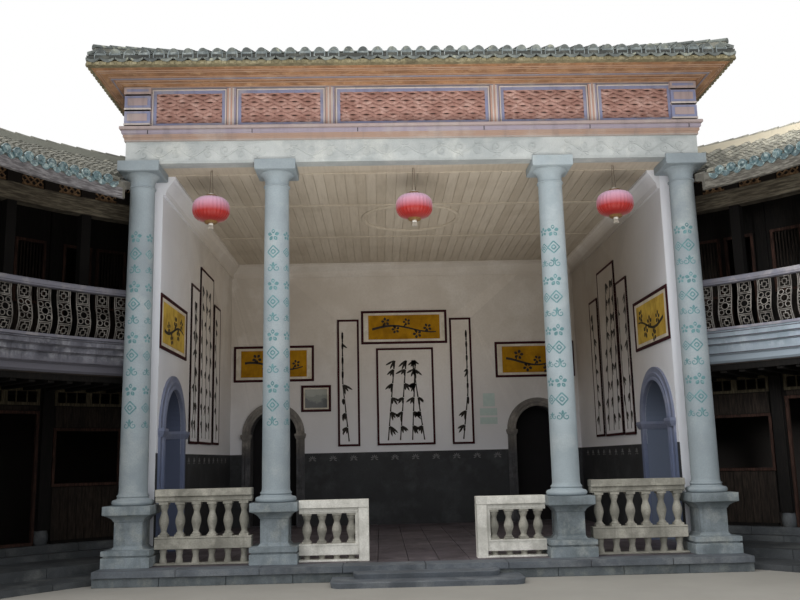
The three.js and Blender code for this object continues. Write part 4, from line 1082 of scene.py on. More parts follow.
stripes = Piece()
STRIPE_FINISH = [1, 2, 1, 2, 0]
STRIPE_PROUD = [0.0, 0.008, 0.014, 0.008, 0.0]
for (_, left_end), (right_start, _) in zip(PANELS, PANELS[1:]):
    middle = (left_end + right_start) / 2
    width = 2 * PILASTER_HALF / 5
    for i in range(5):
        x0 = middle - PILASTER_HALF + i * width
        face = FRIEZE_FACE - PILASTER_DEPTH - 0.003 - STRIPE_PROUD[i]
        z = (CORNICE_TOP + 0.002, FRIEZE_TOP - 0.002)
        stripes.block((x0, x0 + width), (face, FRIEZE_FACE), z, STRIPE_FINISH[i])
fit(stripes.become("frieze_pilaster_stripes", lavender, pink, cream, worn=0.003, steps=1), "painted_masonry")

# The frieze wall turns back to the side walls over the ends of the ceiling
RETURN_X, RETURN_Y, RETURN_BOTTOM = (4.70, 4.965), (-0.045, 0.405), 6.955
returns = Piece()
for s in (-1, 1):
    returns.block(mirrored(s, *RETURN_X), RETURN_Y, (RETURN_BOTTOM, FRIEZE_TOP))
fit(returns.become("frieze_side_returns", plaster), "painted_masonry")

# Each block has a pale tablet on its face and a fillet under it, and a plain slab lies on top
END_BLOCKS = [(0.042, 0.295), (0.323, 0.576)]
TOP_SLAB = (0.604, 0.730)
ends = Piece()
for s in (-1, 1):
    front = FRIEZE_FACE - END_BLOCK_DEPTH

    def band(reach, proud, z, finish):
        x = (s * END_BLOCK_X - reach, s * END_BLOCK_X + reach)
        ends.block(x, (front - proud, FRIEZE_FACE + 0.02), (CORNICE_TOP + z[0], CORNICE_TOP + z[1]), finish)

    for low, high in END_BLOCKS:
        band(END_BLOCK_HALF + 0.002, 0.002, (low, high), 0)
        band(END_BLOCK_HALF - 0.05, 0.010, (low + 0.075, high - 0.045), 1)
        band(END_BLOCK_HALF + 0.008, 0.012, (low, low + 0.032), 2)
    band(END_BLOCK_HALF + 0.012, 0.016, TOP_SLAB, 3)
    band(END_BLOCK_HALF - 0.03, 0.019, (TOP_SLAB[0] + 0.04, TOP_SLAB[1] - 0.035), 0)
ends = ends.become("frieze_corner_blocks", blue_wash, rose_wash, cream, plain_wash, worn=0.004, steps=1)
fit(ends, "painted_masonry")


# Eave soffit
# Painted timber mouldings nailed in steps from the frieze out to the eave, mitred at the corners,
# with a grey bead on the soffit, a row of small dentil blocks and a thin board under the tiles.
EAVE_LOW, EAVE_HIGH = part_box("eave_cornice")
EAVE_REACH = EAVE_HIGH.x - LINTEL_HALF
FRONT_REACH = FRIEZE_FACE - EAVE_LOW.y
WALL_REAR = 8.3
BACK_REACH = EAVE_HIGH.y - WALL_REAR
SOFFIT_BACK = -0.36

# Thin old oil paint on softwood, chalked and streaked by the rain
orange_timber = weathered("painted_timber_orange_faded", "#b18763", "#7f5e45", "#c5a07c",
                          0.35, 0.03, 0.3, 0.8, 0.002)
ochre_timber = weathered("painted_timber_ochre_dull", "#8f8667", "#5c5644", "#a8a083",
                         0.2, 0.02, 0.3, 0.85, 0.002)
grey_timber_paint = limewash("painted_timber_grey_lavender", "#86828c", 0.4)
faded_bead = limewash("painted_bead_pale_orange", "#b08f78", 0.35)


def eave_ring(piece, profile, finish=0):
    """A moulding carried round the four eaves. profile holds (share of the reach, height)."""
    rings = []
    for sx, sy in SQUARE:
        wall_y, reach_y = (WALL_REAR, BACK_REACH) if sy > 0 else (FRIEZE_FACE, FRONT_REACH)
        rings.append([(sx * (LINTEL_HALF + (share * EAVE_REACH if share > 0 else share)),
                       wall_y + sy * (share * reach_y if share > 0 else share), z) for share, z in profile])
    piece.loft(rings, finish, closed=True)


soffit = Piece()
soffit_line = [(SOFFIT_BACK, FRIEZE_TOP), (0.03, FRIEZE_TOP), (0.03, 8.266)]
soffit_line += curved([(0.04, 8.266), (0.09, 8.270), (0.13, 8.284)], 4) + [(0.16, 8.284), (0.16, 8.277)]
soffit_line += [(0.2, 8.277), (0.2, 8.287), (0.35, 8.289), (0.35, 8.281), (0.45, 8.281), (0.45, 8.290)]
soffit_line += curved([(0.5, 8.290), (0.56, 8.286), (0.6, 8.278)], 4)
soffit_line += [(0.64, 8.277), (0.64, 8.290), (0.8, 8.292), (0.8, 8.300), (0.92, 8.300), (0.92, 8.36)]
soffit_line += [(0.9, 8.383), (SOFFIT_BACK, 8.383)]
eave_ring(soffit, soffit_line)
fit(soffit.become("eave_soffit_mouldings", orange_timber), "orange_timber", "eave_cornice")

trims = Piece()
BEAD = ((-0.012, 0.004), (-0.009, -0.007), (0.009, -0.007), (0.012, 0.004))
for share, z in ((0.055, 8.262), (0.21, 8.276), (0.30, 8.286), (0.47, 8.288), (0.66, 8.288), (0.74, 8.289)):
    eave_ring(trims, [(share + a, z + b) for a, b in BEAD], 2)
eave_ring(trims, [(0.365, 8.282), (0.375, 8.270), (0.395, 8.265), (0.415, 8.270), (0.425, 8.282)])
FILLET = ((0.0, -0.018), (0.042, -0.018), (0.042, 0.004), (0.0, 0.004))
eave_ring(trims, [(a, FRIEZE_TOP + b) for a, b in FILLET])
eave_ring(trims, [(0.86, 8.302), (0.86, 8.296), (0.955, 8.298), (0.965, 8.304), (0.965, 8.37),
                  (0.94, 8.384)], 1)
fit(trims.become("eave_board_and_beads", grey_timber_paint, ochre_timber, faded_bead), "orange_timber")


def dentil():
    shape = Piece()
    shape.block((-0.036, 0.036), (-0.012, 0.012), (-0.02, 0.028))
    return shape.become("dentil", worn=0.004, steps=1)


DENTIL_PITCH, DENTIL_LINE, DENTIL_Z = 0.122, 0.975, 8.318
line_x = LINTEL_HALF + DENTIL_LINE * EAVE_REACH
line_y = (FRIEZE_FACE - DENTIL_LINE * FRONT_REACH, WALL_REAR + DENTIL_LINE * BACK_REACH)
dentil_places = []
for y in line_y:
    count = int(2 * line_x / DENTIL_PITCH)
    dentil_places += [((-line_x + (i + 0.5) * 2 * line_x / count, y, DENTIL_Z), (0, 0, 0), (1, 1, 1))
                      for i in range(count)]
for x in (-line_x, line_x):
    length = line_y[1] - line_y[0]
    count = int(length / DENTIL_PITCH)
    dentil_places += [((x, line_y[0] + (i + 0.5) * length / count, DENTIL_Z), (0, 0, math.pi / 2), (1, 1, 1))
                      for i in range(count)]
fit(lay("eave_dentils", dentil(), ochre_timber, dentil_places, shift=0.001, seed=6), "orange_timber")


# Hall roof
# Thin grey clay tiles on boards: troughs laid hollow side up, with rows of half-round cover tiles
# bedded in lime over their joints. Ridge and hips are mortar ribs capped with larger tiles.
PITCH = math.radians(22)
ROOF_RUN = (EAVE_HIGH.y - EAVE_LOW.y) / 2
ROOF_EAVE_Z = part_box("hall_roof_front")[1].z - math.tan(PITCH) * ROOF_RUN
ROOF_HALF_X = EAVE_HIGH.x
ROOF_MIDDLE_Y = (EAVE_HIGH.y + EAVE_LOW.y) / 2
RIDGE_X = ROOF_HALF_X - ROOF_RUN
TILE_PITCH = 0.24
TILE_LENGTH, TILE_LAP = 0.25, 0.035
COVER_RADIUS = 0.078
BED_INSET, BED_THICK, BED_DROP = 0.02, 0.085, 0.008
SLOPES = {"front": 0, "right": 1, "back": 2, "left": 3}

# Clay fired grey: rough, with lichen in pale specks. The specks are 10 mm and are drawn at 120 mm
grey_tile, place = begin("grey_clay_tile_lichened")
colour, relief = mineral(place, "#767c78", "#464b4e", "#9ba29c", 0.5, 0.03, 0.2)
lichen = ramp(noise(place, 0.12, 5.0, shift=(3, 3, 3)), 0.6, 0.68)
close(blend(lichen, colour, "#a3a696"), 0.92, relief, 0.004)
plugged_tile = weathered("clay_tile_end_limed", "#8d9799", "#586062", "#b3bab8",
                         0.16, 0.02, 0.2, 0.92, 0.004)
roof_bed = weathered("roof_bed_mortar_dark", "#4a4c49", "#2f3231", "#6b6d66", 0.4, 0.04, 0.2, 0.95, 0.004)
mortar = weathered("lime_mortar_weathered", "#8a8a80", "#5b5d58", "#aeada0", 0.5, 0.03, 0.4, 0.95, 0.006)


def roof_z(run):
    """The height of a slope at a level distance from its eave."""
    return ROOF_EAVE_Z + run * math.tan(PITCH)


def slope(facing):
    """Half of one slope's eave, the way from the roof's middle to it, and half of its top edge."""
    return (ROOF_RUN, ROOF_HALF_X, 0.0) if facing % 2 else (ROOF_HALF_X, ROOF_RUN, RIDGE_X)


def on_roof(facing, across, forth):
    """The x and y of a point that is given from the roof's middle, with one slope facing the front."""
    spot = Matrix.Rotation(facing * math.pi / 2, 3, "Z") @ Vector((across, forth, 0))
    return spot.x, ROOF_MIDDLE_Y + spot.y


bed = Piece()
for facing in SLOPES.values():
    half, depth, top = slope(facing)
    foot, low, top = half - BED_INSET, depth - BED_INSET, max(top, 0.004)
    plan = [(-foot, -low, 0.0), (foot, -low, 0.0), (top, ROOF_RUN - depth, ROOF_RUN),
            (-top, ROOF_RUN - depth, ROOF_RUN)]
    bed.loft([[(*on_roof(facing, x, y), roof_z(run) - drop) for x, y, run in plan]
              for drop in (BED_THICK, BED_DROP)])
bed = bed.become("hall_roof_bed", roof_bed)
fit(bed, "roof_tile", "hall_roof_front", "hall_roof_back", "hall_roof_left", "hall_roof_right")


def cover_tile(name, radius=COVER_RADIUS, taper=0.9, length=TILE_LENGTH, steps=7):
    """A half-round cover tile, its wide end down the slope at the origin."""
    shape = Piece()
    angles = [math.pi * i / steps for i in range(steps + 1)]
    rings = []
    for y, share, lift in ((0.0, 1.0, 0.012), (length, taper, 0.0)):
        r = radius * share
        rings.append([(r * math.cos(a), y, lift + r * math.sin(a)) for a in angles])
    shape.loft(rings)
    return shape.become(name, crease=50)


def trough_tile(name, half=0.092, dip=0.028, length=TILE_LENGTH, steps=4):
    """A shallow trough tile between two covers, its lower end at the origin."""
    shape = Piece()
    rings = []
    for y, lift in ((0.0, 0.016), (length, 0.002)):
        ways = [2 * i / steps - 1 for i in range(steps + 1)]
        hollow = [(half * t, y, lift + dip * t ** 2) for t in ways]
        rings.append([(-half, y, -0.004), (half, y, -0.004)] + hollow[::-1])
    shape.loft(rings)
    return shape.become(name, crease=50)


HIP_CLEAR, RIDGE_CLEAR = 0.067, 0.053


def slope_places(facing, offset, first=0.038):
    """Places up one slope of the hall roof, row by row, clear of its hips and ridge."""
    half, depth, top = slope(facing)
    columns = round(2 * half / TILE_PITCH)
    rise = (TILE_LENGTH - TILE_LAP) * math.cos(PITCH)
    places = []
    for row in range(int(ROOF_RUN / rise) + 1):
        run = first + row * rise
        for column in range(columns + (0 if offset else 1)):
            across = -half + (column + offset) * 2 * half / columns
            if abs(across) > top + (ROOF_RUN - run) - HIP_CLEAR or run + rise > ROOF_RUN + RIDGE_CLEAR:
                continue
            spot = (*on_roof(facing, across, run - depth), roof_z(run))
            places.append((spot, (PITCH, 0, facing * math.pi / 2), (1, 1, 1)))
    return places


for name, facing in SLOPES.items():
    for label, tile, offset, shift, lean, seed in (
        ("cover_tiles_", cover_tile("cover"), 0.0, 0.003, 0.02, facing + 1),
        ("trough_tiles_", trough_tile("trough"), 0.5, 0.002, 0.015, facing + 5),
    ):
        tiles = lay(label + name, tile, grey_tile, slope_places(facing, offset), shift, lean, seed)
        fit(tiles, "roof_tile")


def eave_tile():
    """The lowest cover of a row, its open end stopped with lime and pointed down to the board."""
    shape = Piece()
    arc = [math.pi * i / 10 for i in range(11)]
    rings = []
    for y, radius, foot in (
        (0.09, 0.088, 0.06), (0.0, 0.094, 0.066), (0.0, 0.080, 0.062), (0.012, 0.076, 0.060),
    ):
        arch = [(radius * math.cos(a), y, radius * math.sin(a)) for a in arc]
        rings.append(arch + [(-radius, y, -foot), (radius, y, -foot)])
    shape.loft(rings)
    return shape.become("eave_tile", crease=40)


def drip_tile(half=0.108, dish=0.034, drop=0.05):
    """The curved lip that hangs from the lowest trough tile."""
    shape = Piece()
    steps = 8
    line = [(half * (2 * i / steps - 1), dish * (2 * i / steps - 1) ** 2) for i in range(steps + 1)]
    rings = []
    for y in (0.02, -0.002):
        lip = [(u, y, v - drop * (1 - 0.45 * (u / half) ** 2)) for u, v in line[::-1]]
        rings.append([(u, y, v) for u, v in line] + lip)
    shape.loft(rings)
    return shape.become("drip_tile", crease=50)


def eave_places(offset, inwards, drop):
    """A place at the foot of every row, upright and facing out."""
    places = []
    for facing in SLOPES.values():
        half, depth, _ = slope(facing)
        columns = round(2 * half / TILE_PITCH)
        for column in range(0 if offset else 1, columns):
            across = -half + (column + offset) * 2 * half / columns
            spot = (*on_roof(facing, across, inwards - depth), ROOF_EAVE_Z - drop)
            places.append((spot, (0, 0, facing * math.pi / 2), (1, 1, 1)))
    return places


covers = lay("eave_cover_ends", eave_tile(), plugged_tile, eave_places(0.0, 0.018, 0.002), 0.004, 0.03, 11)
fit(covers, "roof_tile")
drips = lay("eave_drip_tiles", drip_tile(), grey_tile, eave_places(0.5, 0.012, 0.082), 0.002, 0.02, 12)
fit(drips, "roof_tile")

RIB_HALF, RIB_HEIGHT = 0.11, 0.115
CAP_RADIUS, CAP_LENGTH = 0.068, 0.34

RIDGE_LEVEL = roof_z(ROOF_RUN)
ridge_lines = [((-RIDGE_X - RIB_HALF, ROOF_MIDDLE_Y, RIDGE_LEVEL),
                (RIDGE_X + RIB_HALF, ROOF_MIDDLE_Y, RIDGE_LEVEL))]
for sx in (-1, 1):
    for eave_y, inward in ((EAVE_LOW.y, 1), (EAVE_HIGH.y, -1)):
        foot = (sx * (ROOF_HALF_X - RIB_HALF), eave_y + inward * RIB_HALF, roof_z(RIB_HALF))
        ridge_lines.append((foot, (sx * RIDGE_X, ROOF_MIDDLE_Y, RIDGE_LEVEL)))

RIB_SECTION = [(-RIB_HALF, -0.07), (RIB_HALF, -0.07), (RIB_HALF, 0.03), (0.07, 0.045), (0.055, RIB_HEIGHT),
               (-0.055, RIB_HEIGHT), (-0.07, 0.045), (-RIB_HALF, 0.03)]
ribs = Piece()
cap_places = []
for start, end in ridge_lines:
    start, end = Vector(start), Vector(end)
    along = (end - start).normalized()
    across = Vector((along.y, -along.x, 0)).normalized()
    ribs.loft([[tuple(p + across * a + Vector((0, 0, b))) for a, b in RIB_SECTION] for p in (start, end)])
    length = (end - start).length
    count = round(length / (CAP_LENGTH - 0.04))
    turn = (math.asin(along.z), 0, math.atan2(-along.x, along.y))
    for i in range(count):
        spot = start + along * (length * i / count) + Vector((0, 0, RIB_HEIGHT - 0.012))
        cap_places.append((tuple(spot), turn, (1, 1, 1)))
fit(ribs.become("roof_ridge_ribs", mortar, worn=0.012), "roof_tile", "hall_roof_ridges")
cap = cover_tile("cap", CAP_RADIUS, 0.88, CAP_LENGTH)
fit(lay("roof_ridge_caps", cap, grey_tile, cap_places, 0.002, 0.01, 21), "roof_tile")


# Ceiling
# Narrow limewashed boards nailed side by side from front to back under the joists, with two cross
# battens near the front and a turned ring moulding round the middle lantern hook.
CEILING_LOW, CEILING_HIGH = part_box("ceiling")
BOARD_WIDTH = 0.19
CEILING_RING_AT, CEILING_RING_RADIUS = (0.06, 3.35), 1.0
BOARD_BOTTOM = 6.89
BATTEN_Y, BATTEN_HALF, BATTEN_MARGIN = (2.35, 4.9), 0.045, 0.22

# Softwood under thin limewash, which has yellowed a little more on one board than on the next
ceiling_boards, place = begin("limewashed_board_yellowed")
island = put(place, "NewGeometry").outputs["Random Per Island"]
grain = noise(place, 0.05, 6.0, (1, 14, 1))
colour = blend(ramp(island, 0, 1), "#bbb09f", "#c8beae")
colour = blend(ramp(grain, 0.45, 0.7, 0.0, 0.3), colour, "#928573")
colour = blend(ramp(noise(place, 1.4, 5.0), 0.5, 0.7, 0.0, 0.35), colour, "#a09380")
close(colour, 0.85, grain, 0.002)
dress(ceiling_boards, "ceiling")

boards = Piece()
for x in spaced(CEILING_LOW.x + 0.02, CEILING_HIGH.x - 0.02, BOARD_WIDTH):
    boards.block(x, (0.37, CEILING_HIGH.y - 0.002), (BOARD_BOTTOM - 0.012, BOARD_BOTTOM + 0.004))
for y in BATTEN_Y:
    boards.block((CEILING_LOW.x + BATTEN_MARGIN, CEILING_HIGH.x - BATTEN_MARGIN),
                 (y - BATTEN_HALF, y + BATTEN_HALF), (BOARD_BOTTOM - 0.03, BOARD_BOTTOM - 0.01))
fit(boards.become("ceiling_boards", ceiling_boards, worn=0.003, steps=1), "ceiling_boards")

ring = Piece()
RING_SECTION = [(-0.05, 0.0), (-0.05, -0.018), (-0.036, -0.03), (-0.012, -0.034), (0.0, -0.024),
                (0.012, -0.034), (0.036, -0.03), (0.05, -0.018), (0.05, 0.0)]
x, y = CEILING_RING_AT
ring.loft([[(x + (CEILING_RING_RADIUS + out) * math.cos(a), y + (CEILING_RING_RADIUS + out) * math.sin(a),
             BOARD_BOTTOM - 0.01 + z) for out, z in RING_SECTION]
           for a in [2 * math.pi * i / 72 for i in range(72)]], closed=True)
fit(ring.become("ceiling_ring_moulding", ceiling_boards), "ceiling_boards")


# Name boards
# Thin timber boards fixed flat and high on the walls: a maroon lacquered frame, a pale mount and
# a yellow lacquered field with a painted plum branch.
FRAME_WIDTH, MOUNT_SIDE, MOUNT_TOP = 0.06, 0.125, 0.06

# Old lacquer has gone matt. Its brush marks are under 1 mm and show only as an uneven sheen
maroon, place = begin("lacquer_maroon_dulled")
close(blend(noise(place, 0.3), "#1f030a", "#3f0a14"), 0.75,
      noise(place, 0.05), 0.0005, Specular_IOR_Level=0.25)
mount_paper, place = begin("mount_lime_paper")
colour, _ = mineral(place, "#d9d2c4", "#b8ae9d", "#e5dfd3", 0.4, 0.03, 0.2)
close(colour, 0.9)
# The boards on the back wall are a deeper, darker yellow than those on the side walls
yellow_field, place = begin("lacquer_yellow_aged")
spot = put(place, "SeparateXYZ", Vector=place)
on_back_wall = ramp(spot.outputs["Y"], 7.0, 7.2)
patches = ramp(noise(place, 0.35, 6.0), 0.35, 0.65)
worn, fresh = blend(on_back_wall, "#b08f3a", "#916708"), blend(on_back_wall, "#dab953", "#b98812")
streaks = ramp(noise(place, 0.08, 4.0, (1, 1, 3)), 0.5, 0.75, 0.0, 0.35)
colour = blend(streaks, blend(patches, worn, fresh), "#7d5617")
close(colour, 0.7, noise(place, 0.04), 0.0006, Specular_IOR_Level=0.15)
ink = mottled("lamp_black_ink_brushed", "#16120f", "#332a23", 0.03, 0.75)

BOARD_PROUD = 0.028
BACK_BOARDS = {
    "name_board_back_centre": (-1.11, 1.11, 4.76, 5.63),
    "name_board_back_left": (-4.38, -2.33, 3.84, 4.76),
    "name_board_back_right": (2.33, 4.38, 3.84, 4.76),
}
SIDE_BOARD = (0.41, 2.47, 3.81, 4.78)
board_places = [(name, on_back, spans) for name, spans in BACK_BOARDS.items()]
board_places += [("name_board_side_" + name, surface, SIDE_BOARD)
                 for name, surface in (("right", on_right), ("left", on_left))]


def panel(piece, surface, u, v, out, finish=0):
    """A flat board on a wall between two values of u and v, and two distances out."""
    corners = [(u[0], v[0]), (u[1], v[0]), (u[1], v[1]), (u[0], v[1])]
    piece.loft([[surface(a, b, level) for a, b in corners] for level in out], finish)


def picture_frame(piece, surface, u, v, width, section, finish=0):
    """A mitred moulding round a panel. section holds (share of width from outside, thickness)."""
    rings = []
    for su, sv in ((0, 0), (1, 0), (1, 1), (0, 1)):
        inward = (1 - 2 * su, 1 - 2 * sv)
        rings.append([surface(u[su] + inward[0] * share * width, v[sv] + inward[1] * share * width, out)
                      for share, out in section])
    piece.loft(rings, finish, closed=True)


def plum_branch(u, v, seed):
    """Brush strokes of a flowering branch that fills a field from side to side."""
    pick = random.Random(seed)
    width, height = u[1] - u[0], v[1] - v[0]
    line = [(u[0] + width * t, v[0] + height * (0.42 + 0.14 * math.sin(5 * t + seed)), 0.062 - 0.034 * t)
            for t in [i / 12 for i in range(13)]]
    strokes = [line]
    for i in range(2, 12, 2):
        x, y, _ = line[i]
        hand = 1 if i % 4 else -1
        reach = height * pick.uniform(0.14, 0.22)
        strokes.append([(x + 0.5 * reach * t, y + hand * reach * t ** 0.8, 0.036 * (1.1 - t))
                        for t in (0, 0.3, 0.6, 1)])
        tip, size = (x + 0.55 * reach, y + hand * reach), height * pick.uniform(0.15, 0.19)
        strokes += blossom(tip, size, turn=pick.uniform(0, 72))
    return strokes


FRAME_SECTION = [(0.0, 0.0), (0.0, 0.022), (0.12, BOARD_PROUD), (0.6, BOARD_PROUD + 0.002), (0.9, 0.022),
                 (1.0, 0.019), (1.0, 0.0)]
MOUNT_LAYERS, FIELD_LAYERS = (0.0, 0.012), (0.008, 0.016)
for seed, (name, surface, (u0, u1, v0, v1)) in enumerate(board_places):
    board = Piece()
    panel(board, surface, (u0 + 0.01, u1 - 0.01), (v0 + 0.01, v1 - 0.01), MOUNT_LAYERS, 1)
    picture_frame(board, surface, (u0, u1), (v0, v1), FRAME_WIDTH, FRAME_SECTION)
    across, up = FRAME_WIDTH + MOUNT_SIDE, FRAME_WIDTH + MOUNT_TOP
    field_u, field_v = (u0 + across, u1 - across), (v0 + up, v1 - up)
    panel(board, surface, field_u, field_v, FIELD_LAYERS, 2)
    board = board.become("painted_" + name, maroon, mount_paper, yellow_field, worn=0.003, steps=1)
    fit(board, "board_lacquer", name)
    branch = Piece()
    for stroke in plum_branch((field_u[0] + 0.1, field_u[1] - 0.1), field_v, seed):
        ribbon(branch, stroke, surface, 0.018, -0.014)
    fit(branch.become("plum_branch_" + name[11:], ink), "board_lacquer")


# Hanging scrolls
# Long panels of the wall's own plaster, raised a little and edged with a flat dark red fillet.
# Their fields are brushed with bamboo in thin ink.
SCROLL_PROUD = 0.025
SCROLL_EDGE = 0.052
SIDE_SCROLLS = [(2.86, 3.64, 2.22, 5.44), (3.74, 5.17, 2.23, 5.97), (5.31, 6.06, 2.24, 5.43)]
BACK_SCROLLS = [(-0.735, 0.735, 2.18, 4.65), (-1.73, -1.17, 2.175, 5.41), (1.17, 1.73, 2.175, 5.41)]

faint_ink = mottled("ink_brushed_faint", "#1d1a17", "#3a352f", 0.04, 0.85, 0.3, 0.7)


def bamboo(u, v, seed):
    """Brush strokes of bamboo: jointed stems from the foot, with leaves in threes."""
    pick = random.Random(seed)
    width = u[1] - u[0]
    stems = max(1, round(width / 0.35))
    strokes = []
    for stem in range(stems):
        x = u[0] + width * (stem + 0.5) / stems
        lean = pick.uniform(-0.05, 0.05)
        y = v[0]
        while y < v[1] - 0.35:
            length = min(0.36, v[1] - 0.2 - y)
            strokes.append([(x + lean * t, y + length * t, 0.036 - 0.008 * math.sin(math.pi * t))
                            for t in (0, 0.3, 0.7, 0.96)])
            x, y = x + lean, y + length
            hand = pick.choice((-1, 1))
            for angle in (-35, -60, -85):
                turn = (angle if hand > 0 else 180 - angle) + pick.uniform(-8, 8)
                strokes.append(petal((x + hand * 0.02, y), turn, 0.0, pick.uniform(0.16, 0.27), 0.055))
    left, right = u[0] + 0.01, u[1] - 0.01
    return [[(min(max(a, left), right), b, w) for a, b, w in stroke] for stroke in strokes]


scroll_places = [(on_back, spans) for spans in BACK_SCROLLS]
scroll_places += [(surface, spans) for surface in (on_right, on_left) for spans in SIDE_SCROLLS]
FILLET_SECTION = [(0.0, 0.0), (0.0, SCROLL_PROUD + 0.003), (0.5, SCROLL_PROUD + 0.005),
                  (1.0, SCROLL_PROUD + 0.003), (1.0, 0.0)]
scrolls, brushwork = Piece(), Piece()
for seed, (surface, (u0, u1, v0, v1)) in enumerate(scroll_places):
    picture_frame(scrolls, surface, (u0, u1), (v0, v1), SCROLL_EDGE, FILLET_SECTION)
    margin = SCROLL_EDGE + 0.07
    for stroke in bamboo((u0 + margin, u1 - margin), (v0 + margin, v1 - margin), seed):
        ribbon(brushwork, stroke, surface, SCROLL_PROUD + 0.0025, -SCROLL_PROUD)
fit(scrolls.become("wall_scroll_panels", maroon), "plaster")
fit(brushwork.become("wall_scroll_brushwork", faint_ink), "plaster")


# Framed picture and paper notices
# A small dark-framed picture beside the left rear doorway, with a plain landscape wash, and three
# pale sheets of paper pasted flat on the wall on the other side.
PICTURE_U, PICTURE_V = (-2.66, -1.90), (3.06, 3.73)
PAPERS = (((1.98, 2.28), (3.11, 3.44)), ((1.89, 2.33), (2.88, 3.06)), ((1.89, 2.33), (2.66, 2.83)))

# Ink wash under glass: two misty ridges, with the gloss of the pane
picture_wash, place = begin("picture_landscape_wash")
spot = put(place, "SeparateXYZ", Vector=place)
hills = put(place, "Math", operation="ADD", Value=spot.outputs["Z"],
            Value_001=ramp(noise(place, 0.3, 4.0), 0.2, 0.8, -0.18, 0.18))
colour = blend(ramp(hills, 3.30, 3.36), "#3a3d3c", "#6f736a")
colour = blend(ramp(hills, 3.45, 3.50), colour, "#8d8f85")
close(colour, 0.25, Coat_Weight=0.3)
sheet_paper = mottled("paper_notice_faded", "#bdd0cd", "#c6d6d1", 0.08, 0.9, 0.35, 0.65)


def drawn_in(span, margin):
    """A span made shorter by a margin at both ends."""
    return (span[0] + margin, span[1] - margin)


picture = Piece()
section = [(0, 0.0), (0, 0.03), (0.3, 0.042), (0.8, 0.036), (1, 0.026), (1, 0.0)]
picture_frame(picture, on_back, PICTURE_U, PICTURE_V, 0.06, section)
for margin, layers, finish in ((0.055, (0.0, 0.016), 1), (0.1, (0.012, 0.019), 2)):
    panel(picture, on_back, drawn_in(PICTURE_U, margin), drawn_in(PICTURE_V, margin), layers, finish)
for u, v in PAPERS:
    panel(picture, on_back, u, v, (0.0, 0.004), 3)
picture = picture.become("framed_picture_and_papers", maroon, mount_paper, picture_wash, sheet_paper)
fit(picture, "board_lacquer")


# Lanterns
# Silk stretched in pleats over thin bamboo ribs, between two turned caps of dulled gilt with
# small white cups, and a short silk tassel below. Each hangs on a taut pair of thin cords.
LANTERN_Y, LANTERN_Z = 0.12, 6.18
LANTERN_X = {"left": -3.54, "centre": 0.0, "right": 3.54}
LANTERN_RADIUS, LANTERN_HALF, LANTERN_COLLAR = 0.318, 0.228, 0.11
PLEATS = 28
PLEAT_DEPTH = 0.014
CORD_RADIUS, CORD_APART = 0.005, 0.03

# Thin red silk with a soft sheen. The top is painted pale pink as a painted sheen, and the foot a darker red
# as painted shade
silk, place = begin("lantern_silk_pleated")
height = put(place, "SeparateXYZ", Vector=place).outputs["Z"]
bleach_and_sheen = ramp(height, LANTERN_Z - 0.08, LANTERN_Z + 0.15, 0.0, 0.92)
colour = blend(bleach_and_sheen, "#a41a12", "#d8b3cf")
colour = blend(ramp(height, LANTERN_Z - 0.2, LANTERN_Z - 0.05, 0.5, 0.0), colour, "#861a14")
close(colour, 0.55, Sheen_Weight=0.4, Sheen_Roughness=0.4)
cap_gilt = mottled("lantern_cap_gilt_dulled", "#6e5236", "#9a7848", 0.03, 0.5)
cup_paint = mottled("lantern_cup_white", "#d9d6cf", "#f0eee9", 0.03, 0.4)
cord_silk = mottled("lantern_cord_twisted", "#554c42", "#746859", 0.01, 0.7, detail=2.0, stretch=(1, 1, 3))
tassel_silk = mottled("lantern_tassel_pale", "#9b958b", "#bcb6ac", 0.008, 0.7,
                      detail=2.0, stretch=(1, 1, 12))

LANTERN_CAP = [(0.05, -0.012), (0.1, -0.01), (0.116, 0.0), (0.118, 0.012), (0.106, 0.02), (0.11, 0.032),
               (0.1, 0.04), (0.05, 0.044)]
LANTERN_CUP = [(0.02, 0.0), (0.04, 0.002), (0.043, 0.03), (0.036, 0.038), (0.012, 0.04)]
FRINGE = ((0.0, 0.014), (0.02, 0.034), (0.05, 0.042), (0.085, 0.048))


def fluted(x, z, sides, radius):
    """A level ring round a lantern's middle. radius gives its size at each angle."""
    turns = [2 * math.pi * k / sides for k in range(sides)]
    return [(x + radius(k, a) * math.cos(a), LANTERN_Y + radius(k, a) * math.sin(a), z)
            for k, a in enumerate(turns)]


